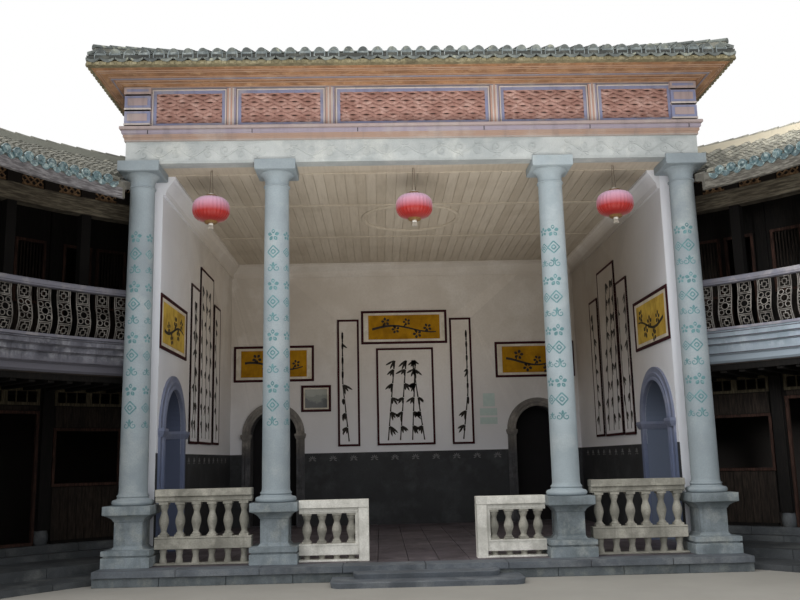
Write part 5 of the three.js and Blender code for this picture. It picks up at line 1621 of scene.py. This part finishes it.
for name, x in LANTERN_X.items():
    body = Piece()
    rings = []
    for i in range(15):
        t = -1 + 2 * i / 14
        swell = (1 - abs(t) ** 2.7) ** 0.5
        reach = LANTERN_COLLAR * 0.85 + (LANTERN_RADIUS - LANTERN_COLLAR * 0.85) * swell
        rings.append(fluted(x, LANTERN_Z + LANTERN_HALF * 0.96 * t, 4 * PLEATS, lambda k, a: (
            reach + PLEAT_DEPTH * swell * (abs(math.cos(a * PLEATS / 2)) - 0.7))))
    body.loft(rings)
    fit(body.become("lantern_silk_" + name, silk, crease=70), "lantern_silk", "lantern_" + name)

    fittings = Piece()
    top, bottom = LANTERN_Z + LANTERN_HALF, LANTERN_Z - LANTERN_HALF
    for profile, gap, sides, finish in ((LANTERN_CAP, -0.018, 28, 0), (LANTERN_CUP, 0.018, 20, 3)):
        fittings.turned([(r, top + gap + z) for r, z in profile], (x, LANTERN_Y), sides, finish)
        fittings.turned([(r, bottom - gap - z) for r, z in profile[::-1]], (x, LANTERN_Y), sides, finish)
    fittings.loft([
        fluted(x, bottom - 0.04 - level, 36, lambda k, a: radius * (1 if k % 2 else 0.82))
        for level, radius in FRINGE
    ], 2)
    for dx in (-CORD_APART, CORD_APART):
        ends = ((x + dx, top + 0.04), (x + 0.4 * dx, BOARD_BOTTOM))
        fittings.loft([
            [(u + CORD_RADIUS * math.cos(a), LANTERN_Y + CORD_RADIUS * math.sin(a), z)
             for a in [math.pi * i / 3 for i in range(6)]]
            for u, z in ends
        ], 1)
    fittings = fittings.become("lantern_fittings_" + name, cap_gilt, cord_silk, tassel_silk, cup_paint)
    fit(fittings, "lantern_silk")


# Ring walkway
# Long granite slabs laid round the courtyard: a low outer step, the walkway, an inner step and the
# kerb of the rooms, with a turned stone base under every post of the ground floor.
RING_Y = -5.72
FIRST_POST, BAY = 42.9, 9.0
WING_START, WING_END = 24.0, 61.9
WING = (WING_START, WING_END)
HALL_SIDE = 4.985
FRONT_R, GALLERY_EDGE, POST_R = 9.9, 7.98, 8.65
POST_ANGLES = [FIRST_POST + i * BAY for i in range(3)]
# Inner and outer radius, top and slab length
WALKWAY_ROWS = [(7.40, 8.25, 0.09, 1.5), (8.25, 9.48, 0.24, 1.3), (9.48, 9.74, 0.34, 1.1),
                (9.74, 10.06, 0.47, 1.2)]
ROOM_FLOOR_R, ROOM_FLOOR_TOP = (10.06, 12.65), 0.24


def on_ring(s, r, angle, z):
    """A point of the ring at an angle in degrees from the hall's axis, on the right for s = 1."""
    a = math.radians(angle)
    return (s * r * math.sin(a), RING_Y + r * math.cos(a), z)


def sweep(piece, s, profile, start, end, finish=0, step=1.5):
    """A profile of radius and height carried round the ring between two angles."""
    count = max(1, math.ceil((end - start) / step))
    piece.loft([[on_ring(s, r, start + (end - start) * i / count, z) for r, z in profile]
                for i in range(count + 1)], finish)


def wedge(piece, s, r, z, angles, finish=0):
    """A squared stone or timber of the ring between two radii, heights and angles."""
    sweep(piece, s, [(r[0], z[0]), (r[1], z[0]), (r[1], z[1]), (r[0], z[1])], angles[0], angles[1], finish)


def trim(piece, s, x):
    """Cuts off whatever lies nearer the hall than x, and closes the cut."""
    mesh = piece.mesh
    parts = mesh.verts[:] + mesh.edges[:] + mesh.faces[:]
    cut = bmesh.ops.bisect_plane(mesh, geom=parts, dist=0.0001, plane_co=(s * x, 0, 0),
                                 plane_no=(-s, 0, 0), clear_outer=True)
    edges = [e for e in cut["geom_cut"] if isinstance(e, bmesh.types.BMEdge)]
    bmesh.ops.holes_fill(mesh, edges=edges)


def lengths_round(r, start, end, length):
    """The two angles of each of the equal slabs or boards that fill a run of the ring."""
    runs = spaced(math.radians(start) * r, math.radians(end) * r, length)
    return [(math.degrees(a / r), math.degrees(b / r)) for a, b in runs]


def steps_round(start, end, step):
    """The angles from start towards end, a step apart."""
    angle = start
    while (end - angle) * step > 0:
        yield angle
        angle += step


# The walkway's granite is a darker copy of the platform's: painted shade
ring_slab_shaded = granite("granite_slab_ring_shaded", "#44484c", "#2c3033", "#5f6262", 0.8, 0.1)
WALK_LIMIT = 5.106
POST_BASE = curved([(0.1, 0.46), (0.112, 0.48), (0.13, 0.56), (0.13, 0.62), (0.115, 0.69), (0.105, 0.72)], 3)
for side, s in SIDES:
    walk = Piece()
    for r0, r1, top, length in WALKWAY_ROWS:
        for angles in lengths_round((r0 + r1) / 2, *WING, length):
            wedge(walk, s, (r0, r1), (0.0, top), angles)
    wedge(walk, s, ROOM_FLOOR_R, (0.0, ROOM_FLOOR_TOP), WING, 1)
    trim(walk, s, WALK_LIMIT)
    for angle in POST_ANGLES:
        walk.turned(POST_BASE, on_ring(s, FRONT_R, angle, 0)[:2], 32)
    walk = walk.become("walkway_slabs_" + side, ring_slab_shaded, granite_riser, worn=0.008, steps=1)
    fit(walk, "granite", "ring_floor_" + side)


# Ring timber
# Cedar posts, boards and beams, smoke-dark inside and bleached grey where the rain reaches. The
# ground-floor fronts have boarded dadoes, framed doorways and lights over the doors.
def aged_timber(name, middle, dark, light, length=(1, 1, 9)):
    """Bare softwood in the open: dull, with long grain that the weather has raised. Its grain is
    2 to 4 mm wide and is drawn at 25 mm."""
    made, place = begin(name)
    grain = noise(place, 0.025, 5.0, length)
    colour = blend(ramp(noise(place, 0.6, 4.0, length), 0.35, 0.65), middle, light)
    colour = blend(ramp(grain, 0.42, 0.62, 0.8, 0.0), colour, dark)
    island = put(place, "NewGeometry").outputs["Random Per Island"]
    tone = ramp(island, 0, 1, 0.865, 1.135)
    colour = put(place, "HueSaturation", Color=colour, Value=tone)
    close(colour, 0.85, grain, 0.002, Specular_IOR_Level=0.2)
    return made


# The fronts under the gallery are near black: partly smoke, partly painted shade
dark_timber = aged_timber("cedar_smoke_and_shade_dark", "#0e0c0b", "#070605", "#181411")
plank_timber = aged_timber("cedar_plank_brown", "#231d19", "#120e0b", "#342b24")
frame_timber = aged_timber("door_frame_reddish", "#33211b", "#1b110d", "#463028")
olive_timber = aged_timber("light_frame_olive", "#4d4638", "#2d281f", "#625945")

# The ring beam stands out to the rain and is bleached grey; the posts under it are smoke-dark
BEAM_BOTTOM, BEAM_TOP = 6.24, 6.54
beam_timber, place = begin("cedar_beam_bleached_over_dark_posts")
grain = noise(place, 0.03, 5.0, (9, 9, 1))
colour = blend(ramp(noise(place, 0.5, 5.0, (3, 3, 1)), 0.35, 0.65), "#5f584c", "#7e7767")
colour = blend(ramp(grain, 0.42, 0.62, 0.8, 0.0), colour, "#39332c")
height = put(place, "SeparateXYZ", Vector=place).outputs["Z"]
colour = blend(ramp(height, BEAM_BOTTOM - 0.005, BEAM_BOTTOM + 0.005, 1.0, 0.0), colour, "#0e0c0b")
colour = blend(ramp(height, BEAM_TOP - 0.005, BEAM_TOP + 0.005), colour, "#1b1714")
close(colour, 0.88, grain, 0.002, Specular_IOR_Level=0.2)

for side, s in SIDES:
    dress(dark_timber, "ring_ground_front_" + side, "ring_upper_front_" + side)
    dress(beam_timber, "ring_gallery_frame_" + side)

TRANSOM, WINDOW, DOOR_TOP, PLINTH_TOP = (2.96, 3.21), (1.5, 2.5), 2.8, 0.47
HALF_OPENING = BAY / 2 - math.degrees(0.165 / FRONT_R)
GALLERY_TOP = 3.91
BOARD = 0.15
MULLION = 0.145
BAR = 0.07


def rail_round(piece, s, r, z, angles, finish=0):
    """A frame of even width round an opening of the ring: two uprights, a head and a sill."""
    width = 0.055
    turn = math.degrees(width / r[0])
    for a in angles:
        wedge(piece, s, r, z, (a - turn / 2, a + turn / 2), finish)
    for level in z:
        wedge(piece, s, r, (level - width / 2, level + width / 2),
              (angles[0] - turn / 2, angles[1] + turn / 2), finish)


for side, s in SIDES:
    ground = Piece()
    for i in (-1, 0, 1):
        middle = FIRST_POST + (i + 0.5) * BAY
        left, right = middle - HALF_OPENING, middle + HALF_OPENING
        for a0, a1 in ((left, middle - MULLION), (middle + MULLION, right)):
            rail_round(ground, s, (FRONT_R - 0.03, FRONT_R + 0.02), TRANSOM, (a0, a1), 2)
            for share in (1 / 3, 2 / 3):
                a = a0 + (a1 - a0) * share
                wedge(ground, s, (FRONT_R, FRONT_R + 0.02), TRANSOM, (a - BAR, a + BAR), 2)
        boards = lengths_round(FRONT_R, left, right, BOARD)
        if i == 0:
            opening = (PLINTH_TOP + 0.03, DOOR_TOP)
            rail_round(ground, s, (FRONT_R - 0.05, FRONT_R + 0.02), opening, (left, right), 1)
        else:
            opening = WINDOW
            rail_round(ground, s, (FRONT_R - 0.04, FRONT_R + 0.02), opening, (left, right), 1)
            for angles in boards:
                wedge(ground, s, (FRONT_R - 0.018, FRONT_R + 0.01),
                      (PLINTH_TOP + 0.06, WINDOW[0] - 0.04), angles)
        for angles in boards:
            wedge(ground, s, (FRONT_R - 0.015, FRONT_R + 0.01),
                  (opening[1] + 0.04, TRANSOM[0] - 0.04), angles)
    trim(ground, s, HALL_SIDE)
    ground = ground.become("ground_front_joinery_" + side, plank_timber, frame_timber, olive_timber,
                           worn=0.003, steps=1)
    fit(ground, "dark_timber")

UPPER_SILL, UPPER_HEAD, THRESHOLD = GALLERY_TOP + 0.9, GALLERY_TOP + 2.05, GALLERY_TOP + 0.06
UPPER_WINDOW, UPPER_DOOR = (-3.4, -0.3), (0.5, 3.4)
WINDOW_BARS = 8
for side, s in SIDES:
    upper = Piece()
    for i in (-1, 0, 1):
        middle = FIRST_POST + (i + 0.5) * BAY
        window, door = [(middle + a, middle + b) for a, b in (UPPER_WINDOW, UPPER_DOOR)]
        rail_round(upper, s, (FRONT_R - 0.035, FRONT_R + 0.02), (UPPER_SILL, UPPER_HEAD), window, 1)
        rail_round(upper, s, (FRONT_R - 0.035, FRONT_R + 0.02), (THRESHOLD, UPPER_HEAD), door, 1)
        for k in range(1, WINDOW_BARS + 1):
            a = window[0] + (window[1] - window[0]) * k / (WINDOW_BARS + 1)
            wedge(upper, s, (FRONT_R + 0.02, FRONT_R + 0.05), (UPPER_SILL, UPPER_HEAD), (a - BAR, a + BAR))
        for angles in lengths_round(FRONT_R, *window, BOARD):
            wedge(upper, s, (FRONT_R - 0.015, FRONT_R + 0.01),
                  (GALLERY_TOP + 0.02, UPPER_SILL - 0.04), angles)
    trim(upper, s, HALL_SIDE)
    upper = upper.become("upper_front_joinery_" + side, plank_timber, frame_timber, worn=0.003, steps=1)
    fit(upper, "dark_timber")


# Gallery
# Joists carry a boarded floor behind a stepped plaster fascia, limewashed lavender grey and long
# stained by drips. The joist ends hang below it, and the boards of the floor show from under.
def ring_radius(place):
    """Distance from the courtyard's centre line, for finishes that change across the ring."""
    flat = put(place, "VectorMath", operation="MULTIPLY", Vector=place, Vector_001=(1, 1, 0))
    centred = put(place, "VectorMath", operation="SUBTRACT", Vector=flat, Vector_001=(0, RING_Y, 0))
    return put(place, "VectorMath", operation="LENGTH", Vector=centred).outputs["Value"]


gallery_finish, place = begin("gallery_fascia_and_boards")
radius = ring_radius(place)
spot = put(place, "SeparateXYZ", Vector=place)
colour, relief = mineral(place, "#7f808a", "#3f3f48", "#a3a4aa", 0.45, 0.03, 0.8)
colour = blend(ramp(spot.outputs["Z"], 3.5, 3.62, 1.0, 0.0), colour, "#5c5b64")
# The fascia is painted paler and greener on the right wing: painted light
colour = blend(ramp(spot.outputs["X"], 4.0, 5.0, 0.0, 0.4), colour, "#98abb4")
boards = blend(ramp(noise(place, 0.2, 5.0, (6, 1, 1)), 0.4, 0.6), "#1b1613", "#2b231e")
inner = ramp(radius, 8.12, 8.13)
close(blend(inner, colour, boards), 0.88, relief, 0.003)
for side, s in SIDES:
    dress(gallery_finish, "ring_gallery_floor_" + side)

JOIST_START, JOIST_PITCH = 34.0, 2.25
JOIST_R, JOIST_Z = (8.2, 9.88), (3.19, 3.335)
# Half of a joist's width, in degrees at a radius of one metre
JOIST_HALF = 3.15
for side, s in SIDES:
    joists = Piece()
    for angle in steps_round(JOIST_START, WING_END - 0.5, JOIST_PITCH):
        joists.loft([[on_ring(s, r, angle + a * JOIST_HALF / r, JOIST_Z[b > 0]) for a, b in SQUARE]
                     for r in JOIST_R])
    wedge(joists, s, (8.16, 8.26), (3.23, 3.335), (JOIST_START, WING_END - 0.1))
    trim(joists, s, HALL_SIDE)
    fit(joists.become("gallery_joists_" + side, dark_timber, worn=0.004, steps=1), "dark_timber")

# A thin dark line along each step of the fascia and under the handrail: painted shade
dark_step_line = mottled("fascia_painted_shade_line", "#2c2b31", "#504e56", 0.3, 0.9, 0.35, 0.65)
FASCIA_STEPS = ((7.94, 3.868), (7.94, 3.785), (7.99, 3.675), (8.04, 3.515))
for side, s in SIDES:
    lines = Piece()
    for r, z in FASCIA_STEPS:
        wedge(lines, s, (r - 0.006, r + 0.01), (z - 0.007, z + 0.007), WING)
    trim(lines, s, HALL_SIDE)
    fit(lines.become("fascia_step_lines_" + side, dark_step_line), "plaster")


# Gallery rail
# A rounded handrail of painted timber on cast-iron panels that belly out towards the courtyard.
# The panels are open castings: a fret at top and bottom, and rings between them.
RAIL_TOP, RAIL_BOTTOM = 4.83, 4.72
RAIL_PROFILE = [
    (-0.05, RAIL_BOTTOM), (0.05, RAIL_BOTTOM), (0.055, 4.745), (0.07, 4.75), (0.07, 4.80), (0.055, 4.822),
    (0.03, RAIL_TOP), (-0.03, RAIL_TOP), (-0.055, 4.822), (-0.07, 4.80), (-0.07, 4.75), (-0.055, 4.745),
]
# How far a panel stands back from its top and foot, and the share of its height
BOW = [(0.040, 0.0), (0.0, 0.07), (-0.055, 0.21), (-0.070, 0.36), (-0.045, 0.52), (0.0, 0.69),
       (0.020, 0.86), (0.010, 1.0)]
IRON_PITCH = math.degrees(0.34 / GALLERY_EDGE)
IRON_FIRST = 39.9
IRON_HALF, IRON_HEIGHT = 0.112, RAIL_BOTTOM - GALLERY_TOP
IRON_LINE = 0.014
BAR_LEVELS = (0.008, 0.225, 0.59, IRON_HEIGHT - 0.008)
FRET_LEVELS, FRET_HALF = (0.115, 0.7), 0.085
RINGS_LEVEL = 0.408

rail_paint = limewash("handrail_grey_lavender", "#6d6d78", 0.55)
# Cast iron under thick cream paint, with rust and soot in its hollows
cast_iron = weathered("cast_iron_cream_paint", "#7b7772", "#35302b", "#9b9791", 0.25, 0.015, 0.5, 0.7, 0.001)


def bowed(u, v, out):
    """Puts a stroke on the bowed face of a panel that stands on the origin, its front towards -Y."""
    share = min(max(v / IRON_HEIGHT, 0.0), 1.0)
    for (low_bow, low), (high_bow, high) in zip(BOW, BOW[1:]):
        if share <= high:
            t = (share - low) / (high - low)
            t = t * t * (3 - 2 * t)
            return (u, low_bow + (high_bow - low_bow) * t - out, v)
    return (u, BOW[-1][0] - out, v)


def hoop(centre, radius, line, steps=16):
    turns = [2 * math.pi * i / steps for i in range(steps + 1)]
    return [(centre[0] + radius * math.cos(a), centre[1] + radius * math.sin(a), line) for a in turns]


def fret_box(middle, half, line):
    """A square of straight bars with a smaller one hooked inside it."""
    u, v = middle
    strokes = []
    for reach in (half, half * 0.45):
        corners = [(u + a * reach, v + b * reach) for a, b in SQUARE]
        strokes += [straight(a, b, line, 2) for a, b in zip(corners, corners[1:] + corners[:1])]
    for s in (-1, 1):
        strokes.append(straight((u + s * half, v), (u + s * half * 0.45, v), line, 1))
        strokes.append(straight((u, v + s * half), (u, v + s * half * 0.45), line, 1))
    return strokes


def iron_panel():
    """One open casting: its border, a fret at each end and a cluster of rings between them."""
    shape = Piece()
    line = IRON_LINE
    strokes = [straight((s * IRON_HALF, 0.0), (s * IRON_HALF, IRON_HEIGHT), line, 14) for s in (-1, 1)]
    for level in BAR_LEVELS:
        strokes.append(straight((-IRON_HALF, level), (IRON_HALF, level), line, 2))
    for level in FRET_LEVELS:
        strokes += fret_box((0, level), FRET_HALF, line * 0.85)
    strokes.append(hoop((0, RINGS_LEVEL), 0.062, line))
    for su, sv in ((-1, -1), (1, -1), (-1, 1), (1, 1)):
        strokes.append(hoop((su * 0.062, RINGS_LEVEL + sv * 0.11), 0.044, line * 0.85, 12))
    for s in (-1, 1):
        strokes.append(hoop((s * 0.084, RINGS_LEVEL), 0.024, line * 0.8, 10))
    for stroke in strokes:
        ribbon(shape, stroke, bowed, 0.007, 0.007)
    return shape.become("iron_panel", crease=50)


for side, s in SIDES:
    rail = Piece()
    sweep(rail, s, [(GALLERY_EDGE + r, z) for r, z in RAIL_PROFILE], *WING)
    wedge(rail, s, (GALLERY_EDGE - 0.03, GALLERY_EDGE + 0.06), (GALLERY_TOP, GALLERY_TOP + 0.045), WING)
    wedge(rail, s, (GALLERY_EDGE - 0.04, GALLERY_EDGE + 0.045), (RAIL_BOTTOM - 0.016, RAIL_BOTTOM), WING, 1)
    trim(rail, s, HALL_SIDE)
    rail = rail.become("gallery_handrail_" + side, rail_paint, dark_step_line)
    fit(rail, "cast_iron", "ring_gallery_rail_" + side)
    places = [(on_ring(s, GALLERY_EDGE, a, GALLERY_TOP), (0, 0, -s * math.radians(a)), (1, 1, 1))
              for a in steps_round(IRON_FIRST, WING_END - IRON_PITCH, IRON_PITCH)]
    fit(lay("iron_panels_" + side, iron_panel(), cast_iron, places, lean=0.006, seed=31), "cast_iron")


# Fretwork and eave
# A band of crossed laths nailed between two rails over the ring beam, and squared rafters that
# run out from it to a bare eave board under the tiles, which the rain has bleached.
BAND_FACE = POST_R - 0.04
EAVE_R, EAVE_Z, RIDGE_R, RIDGE_Z, REAR_R, ROOF_THICK = 6.88, 6.40, 10.3, 7.92, 13.3, 0.13
RIDGE_CAP_Z = RIDGE_Z + 0.135
RING_SLOPE = (RIDGE_Z - EAVE_Z) / (RIDGE_R - EAVE_R)
RING_PITCH = math.atan(RING_SLOPE)
LATH_PITCH, LATH_RISE, LATH_START = 0.115, 0.34, 31
RAFTER_START, RAFTER_PITCH, RAFTER_R = 30.0, 2.25, (7.02, 8.57)
EAVE_END, EAVE_LIMIT = 63.8, 4.81


def ring_roof_z(r):
    return EAVE_Z + RING_SLOPE * (r - EAVE_R if r <= RIDGE_R else 2 * RIDGE_R - EAVE_R - r)


# The right board is painted a darker, browner grey than the left: painted shade to offset the fill lamp on
# that wing
eave_paint = {
    "left": aged_timber("eave_board_rain_bleached", "#777577", "#474446", "#918f92", (6, 6, 1)),
    "right": aged_timber("eave_board_painted_darker", "#62605a", "#3a3733", "#7c7a73", (6, 6, 1)),
}
lath_timber = aged_timber("fretwork_lath_brown", "#7d6349", "#4d3a2a", "#9a7c5d", (3, 3, 3))
rafter_timber = aged_timber("cedar_rafter_brown", "#4a3d33", "#2a211b", "#665649", (9, 9, 9))
for side, s in SIDES:
    fret = Piece()

    def on_band(u, v, out):
        return on_ring(s, BAND_FACE - out, math.degrees(u / BAND_FACE), v)

    start, end = math.radians(LATH_START) * BAND_FACE, math.radians(WING_END - 0.2) * BAND_FACE
    low, high = BEAM_TOP + 0.03, BEAM_TOP + 0.03 + LATH_RISE
    for level in (low, high):
        ribbon(fret, straight((start, level), (end, level), 0.04, 24), on_band, 0.03, 0.005)
    for i in range(int((end - start) / LATH_PITCH)):
        u = start + i * LATH_PITCH
        far = min(u + LATH_RISE, end)
        for a, b in ((u, far), (far, u)):
            ribbon(fret, straight((a, low), (b, high), 0.022), on_band, 0.016 if a < b else 0.024, 0.004)
    trim(fret, s, HALL_SIDE)
    fit(fret.become("fretwork_band_" + side, lath_timber), "grey_timber")

    rafters = Piece()
    for angle in steps_round(RAFTER_START, WING_END, RAFTER_PITCH):
        rafters.loft([
            [on_ring(s, r, angle + math.degrees(u / r), ring_roof_z(r) - ROOF_THICK + z)
             for u, z in ((-0.04, -0.09), (0.04, -0.09), (0.04, 0.01), (-0.04, 0.01))]
            for r in RAFTER_R
        ])
    trim(rafters, s, HALL_SIDE)
    fit(rafters.become("eave_rafters_" + side, rafter_timber, worn=0.006, steps=1), "grey_timber")

    board = Piece()
    profile = ((-0.006, 6.134), (0.064, 6.134), (0.064, 6.16), (0.02, 6.17), (0.02, 6.30), (-0.006, 6.30))
    sweep(board, s, [(EAVE_R + out, z) for out, z in profile], WING_START, EAVE_END)
    trim(board, s, EAVE_LIMIT)
    fit(board.become("eave_board_" + side, eave_paint[side]), "grey_timber")


# Ring roof
# The same thin clay tiles as the hall, in rows that run up from the eave to the ridge. At the eave
# each cover row ends in a round blue-green glazed tile, with a drip tile between every two.
# The bed is dark lime mortar, washed pale along the ridge
ring_bed, place = begin("ring_roof_bed_limy")
colour, relief = mineral(place, "#6a6963", "#3f3e3a", "#86847a", 0.5, 0.04, 0.2)
spot = put(place, "SeparateXYZ", Vector=place)
# Along the ridge the lime is painted paler and warmer on the right wing: painted sunlight
ridge_lime_sunlit_right = blend(ramp(spot.outputs["X"], -5.0, 5.0), "#8d8e84", "#a8a292")
limed = ramp(spot.outputs["Z"], 7.78, 7.84, 0.0, 0.85)
close(blend(limed, colour, ridge_lime_sunlit_right), 0.95, relief, 0.004)
# Dull clay tiles. The hollow ones are painted darker than the covers: painted shade in the troughs
ring_trough_tile_shaded = weathered("ring_trough_tile_painted_shade", "#55564f", "#35362f", "#717269",
                             0.4, 0.03, 0.15, 0.92, 0.004)
ring_tile = weathered("ring_roof_tile_dull", "#87877e", "#55554f", "#a9a79a", 0.6, 0.03, 0.15, 0.9, 0.004)
# Lead glaze over white slip: wet-looking, with crazed dark and bleached patches
glaze = weathered("tile_glaze_blue_green", "#56737a", "#2a3b40", "#b2c4c2", 0.12, 0.012, 0.0, 0.22, 0.001,
                  Coat_Weight=0.5, Coat_Roughness=0.1)

COVER_PITCH, REAR_PITCH = 1.64, 1.2
TILES_END, ROUND_ENDS_END, CAPS_END = 63.2, 63.0, 63.5
TROUGH_WIDTH = 0.2
HALL_EAVE_X = 5.5
FRONT_CLEAR, REAR_CLEAR, END_CLEAR = 4.9, HALL_SIDE + 0.12, 4.87


def ring_places(s, rear, offset, widen):
    """Places of one kind of tile on one slope, row by row from the eave up."""
    pitch = REAR_PITCH if rear else COVER_PITCH
    foot = REAR_R if rear else EAVE_R
    rise = (TILE_LENGTH - TILE_LAP) * math.cos(RING_PITCH)
    places = []
    rows = int((foot - RIDGE_R if rear else RIDGE_R - foot) / rise)
    for row in range(rows):
        run = 0.035 + row * rise
        r = foot - run if rear else foot + run
        for angle in steps_round(TILES_END - offset * pitch, WING_START, -pitch):
            spot = on_ring(s, r, angle, ring_roof_z(r))
            if abs(spot[0]) > (FRONT_CLEAR if spot[1] < -0.5 else REAR_CLEAR):
                turn = -s * math.radians(angle) + (math.pi if rear else 0.0)
                width = r * math.radians(pitch) / TROUGH_WIDTH if widen else 1.0
                places.append((spot, (RING_PITCH, 0, turn), (width, 1, 1)))
    return places


def round_end():
    """The glazed disc that closes a cover row, with a raised rim and a boss."""
    shape = Piece()
    profile = [(0.074, 0.07), (0.076, 0.0), (0.072, -0.007), (0.062, -0.007), (0.057, 0.002),
               (0.036, 0.004), (0.026, -0.004), (0.009, -0.008)]
    turns = [2 * math.pi * i / 20 for i in range(20)]
    shape.loft([[(r * math.cos(a), y, r * math.sin(a)) for a in turns] for r, y in profile])
    return shape.become("round_end", crease=45)


for side, s in SIDES:
    dress(ring_bed, "ring_roof_" + side)
    for label, rear in (("inner", False), ("outer", True)):
        name = label + "_" + side
        covers = lay("ring_covers_" + name, cover_tile("ring_cover", 0.063), ring_tile,
                     ring_places(s, rear, 0.0, False), 0.003, 0.02, 41)
        fit(covers, "roof_tile")
        troughs = lay("ring_troughs_" + name, trough_tile("ring_trough", 0.08, 0.024), ring_trough_tile_shaded,
                      ring_places(s, rear, 0.5, True), 0.002, 0.015, 42)
        fit(troughs, "roof_tile")
    for name, tile, ahead_by, out, drop, seed in (
        ("glazed_round_ends_", round_end(), 0.0, 0.03, 0.0, 43),
        ("glazed_drip_tiles_", drip_tile(0.09, 0.03, 0.098), COVER_PITCH / 2, 0.014, 0.03, 44),
    ):
        turns = [a - ahead_by for a in steps_round(ROUND_ENDS_END, WING_START, -COVER_PITCH)]
        spots = [(on_ring(s, EAVE_R - out, a, EAVE_Z - drop), (0, 0, -s * math.radians(a)), (1, 1, 1))
                 for a in turns]
        spots = [spot for spot in spots if abs(spot[0][0]) > END_CLEAR]
        fit(lay(name + side, tile, glaze, spots, 0.002, 0.03, seed), "roof_tile")
    caps = []
    for angle in steps_round(CAPS_END, WING_START, -math.degrees((CAP_LENGTH - 0.04) / RIDGE_R)):
        spot = on_ring(s, RIDGE_R, angle, RIDGE_CAP_Z - 0.01)
        if abs(spot[0]) > HALL_EAVE_X + 0.3:
            caps.append((spot, (0, 0, s * math.pi / 2 - s * math.radians(angle)), (1, 1, 1)))
    cap = cover_tile("ring_cap", CAP_RADIUS, 0.88, CAP_LENGTH)
    fit(lay("ring_ridge_caps_" + side, cap, ring_tile, caps, 0.002, 0.01, 45), "roof_tile")


# Rammed earth
# The ring's back wall and the party wall at its open end are rammed yellow earth under a thin
# clay skim, with the faint level lines of each ramming.
rammed, place = begin("rammed_earth_skimmed")
colour, relief = mineral(place, "#9c8563", "#7c694e", "#ae9b7a", 1.1, 0.05, 0.3)
height = put(place, "SeparateXYZ", Vector=place).outputs["Z"]
lifts = put(place, "Math", operation="PINGPONG", Value=height, Value_001=0.2)
seam = ramp(lifts, 0.0, 0.02, 0.5, 0.0)
colour = blend(seam, colour, "#6b5a42")
radius = ring_radius(place)
spot = put(place, "SeparateXYZ", Vector=place)
aside = put(place, "Math", operation="ABSOLUTE", Value=spot.outputs["X"])
forth = put(place, "Math", operation="SUBTRACT", Value=spot.outputs["Y"], Value_001=RING_Y)
turn = put(place, "Math", operation="ARCTAN2", Value=aside, Value_001=forth)
# The wall inside the rooms is smoked and painted near black: painted shade for the dark rooms
ROOMS_MIDDLE, ROOMS_HALF = 11.3, 1.38
rooms_shade = put(place, "Math", operation="COMPARE", Value=radius,
               Value_001=ROOMS_MIDDLE, Value_002=ROOMS_HALF)
before_end = put(place, "Math", operation="LESS_THAN",
                 Value=turn, Value_001=math.radians(WING_END + 0.3))
rooms_shade = put(place, "Math", operation="MULTIPLY", Value=rooms_shade, Value_001=before_end)
colour = blend(rooms_shade, colour, "#1d1814")
close(colour, 0.95, relief, 0.008)
dress(rammed, "ring_earth_wall_left", "ring_earth_wall_right")
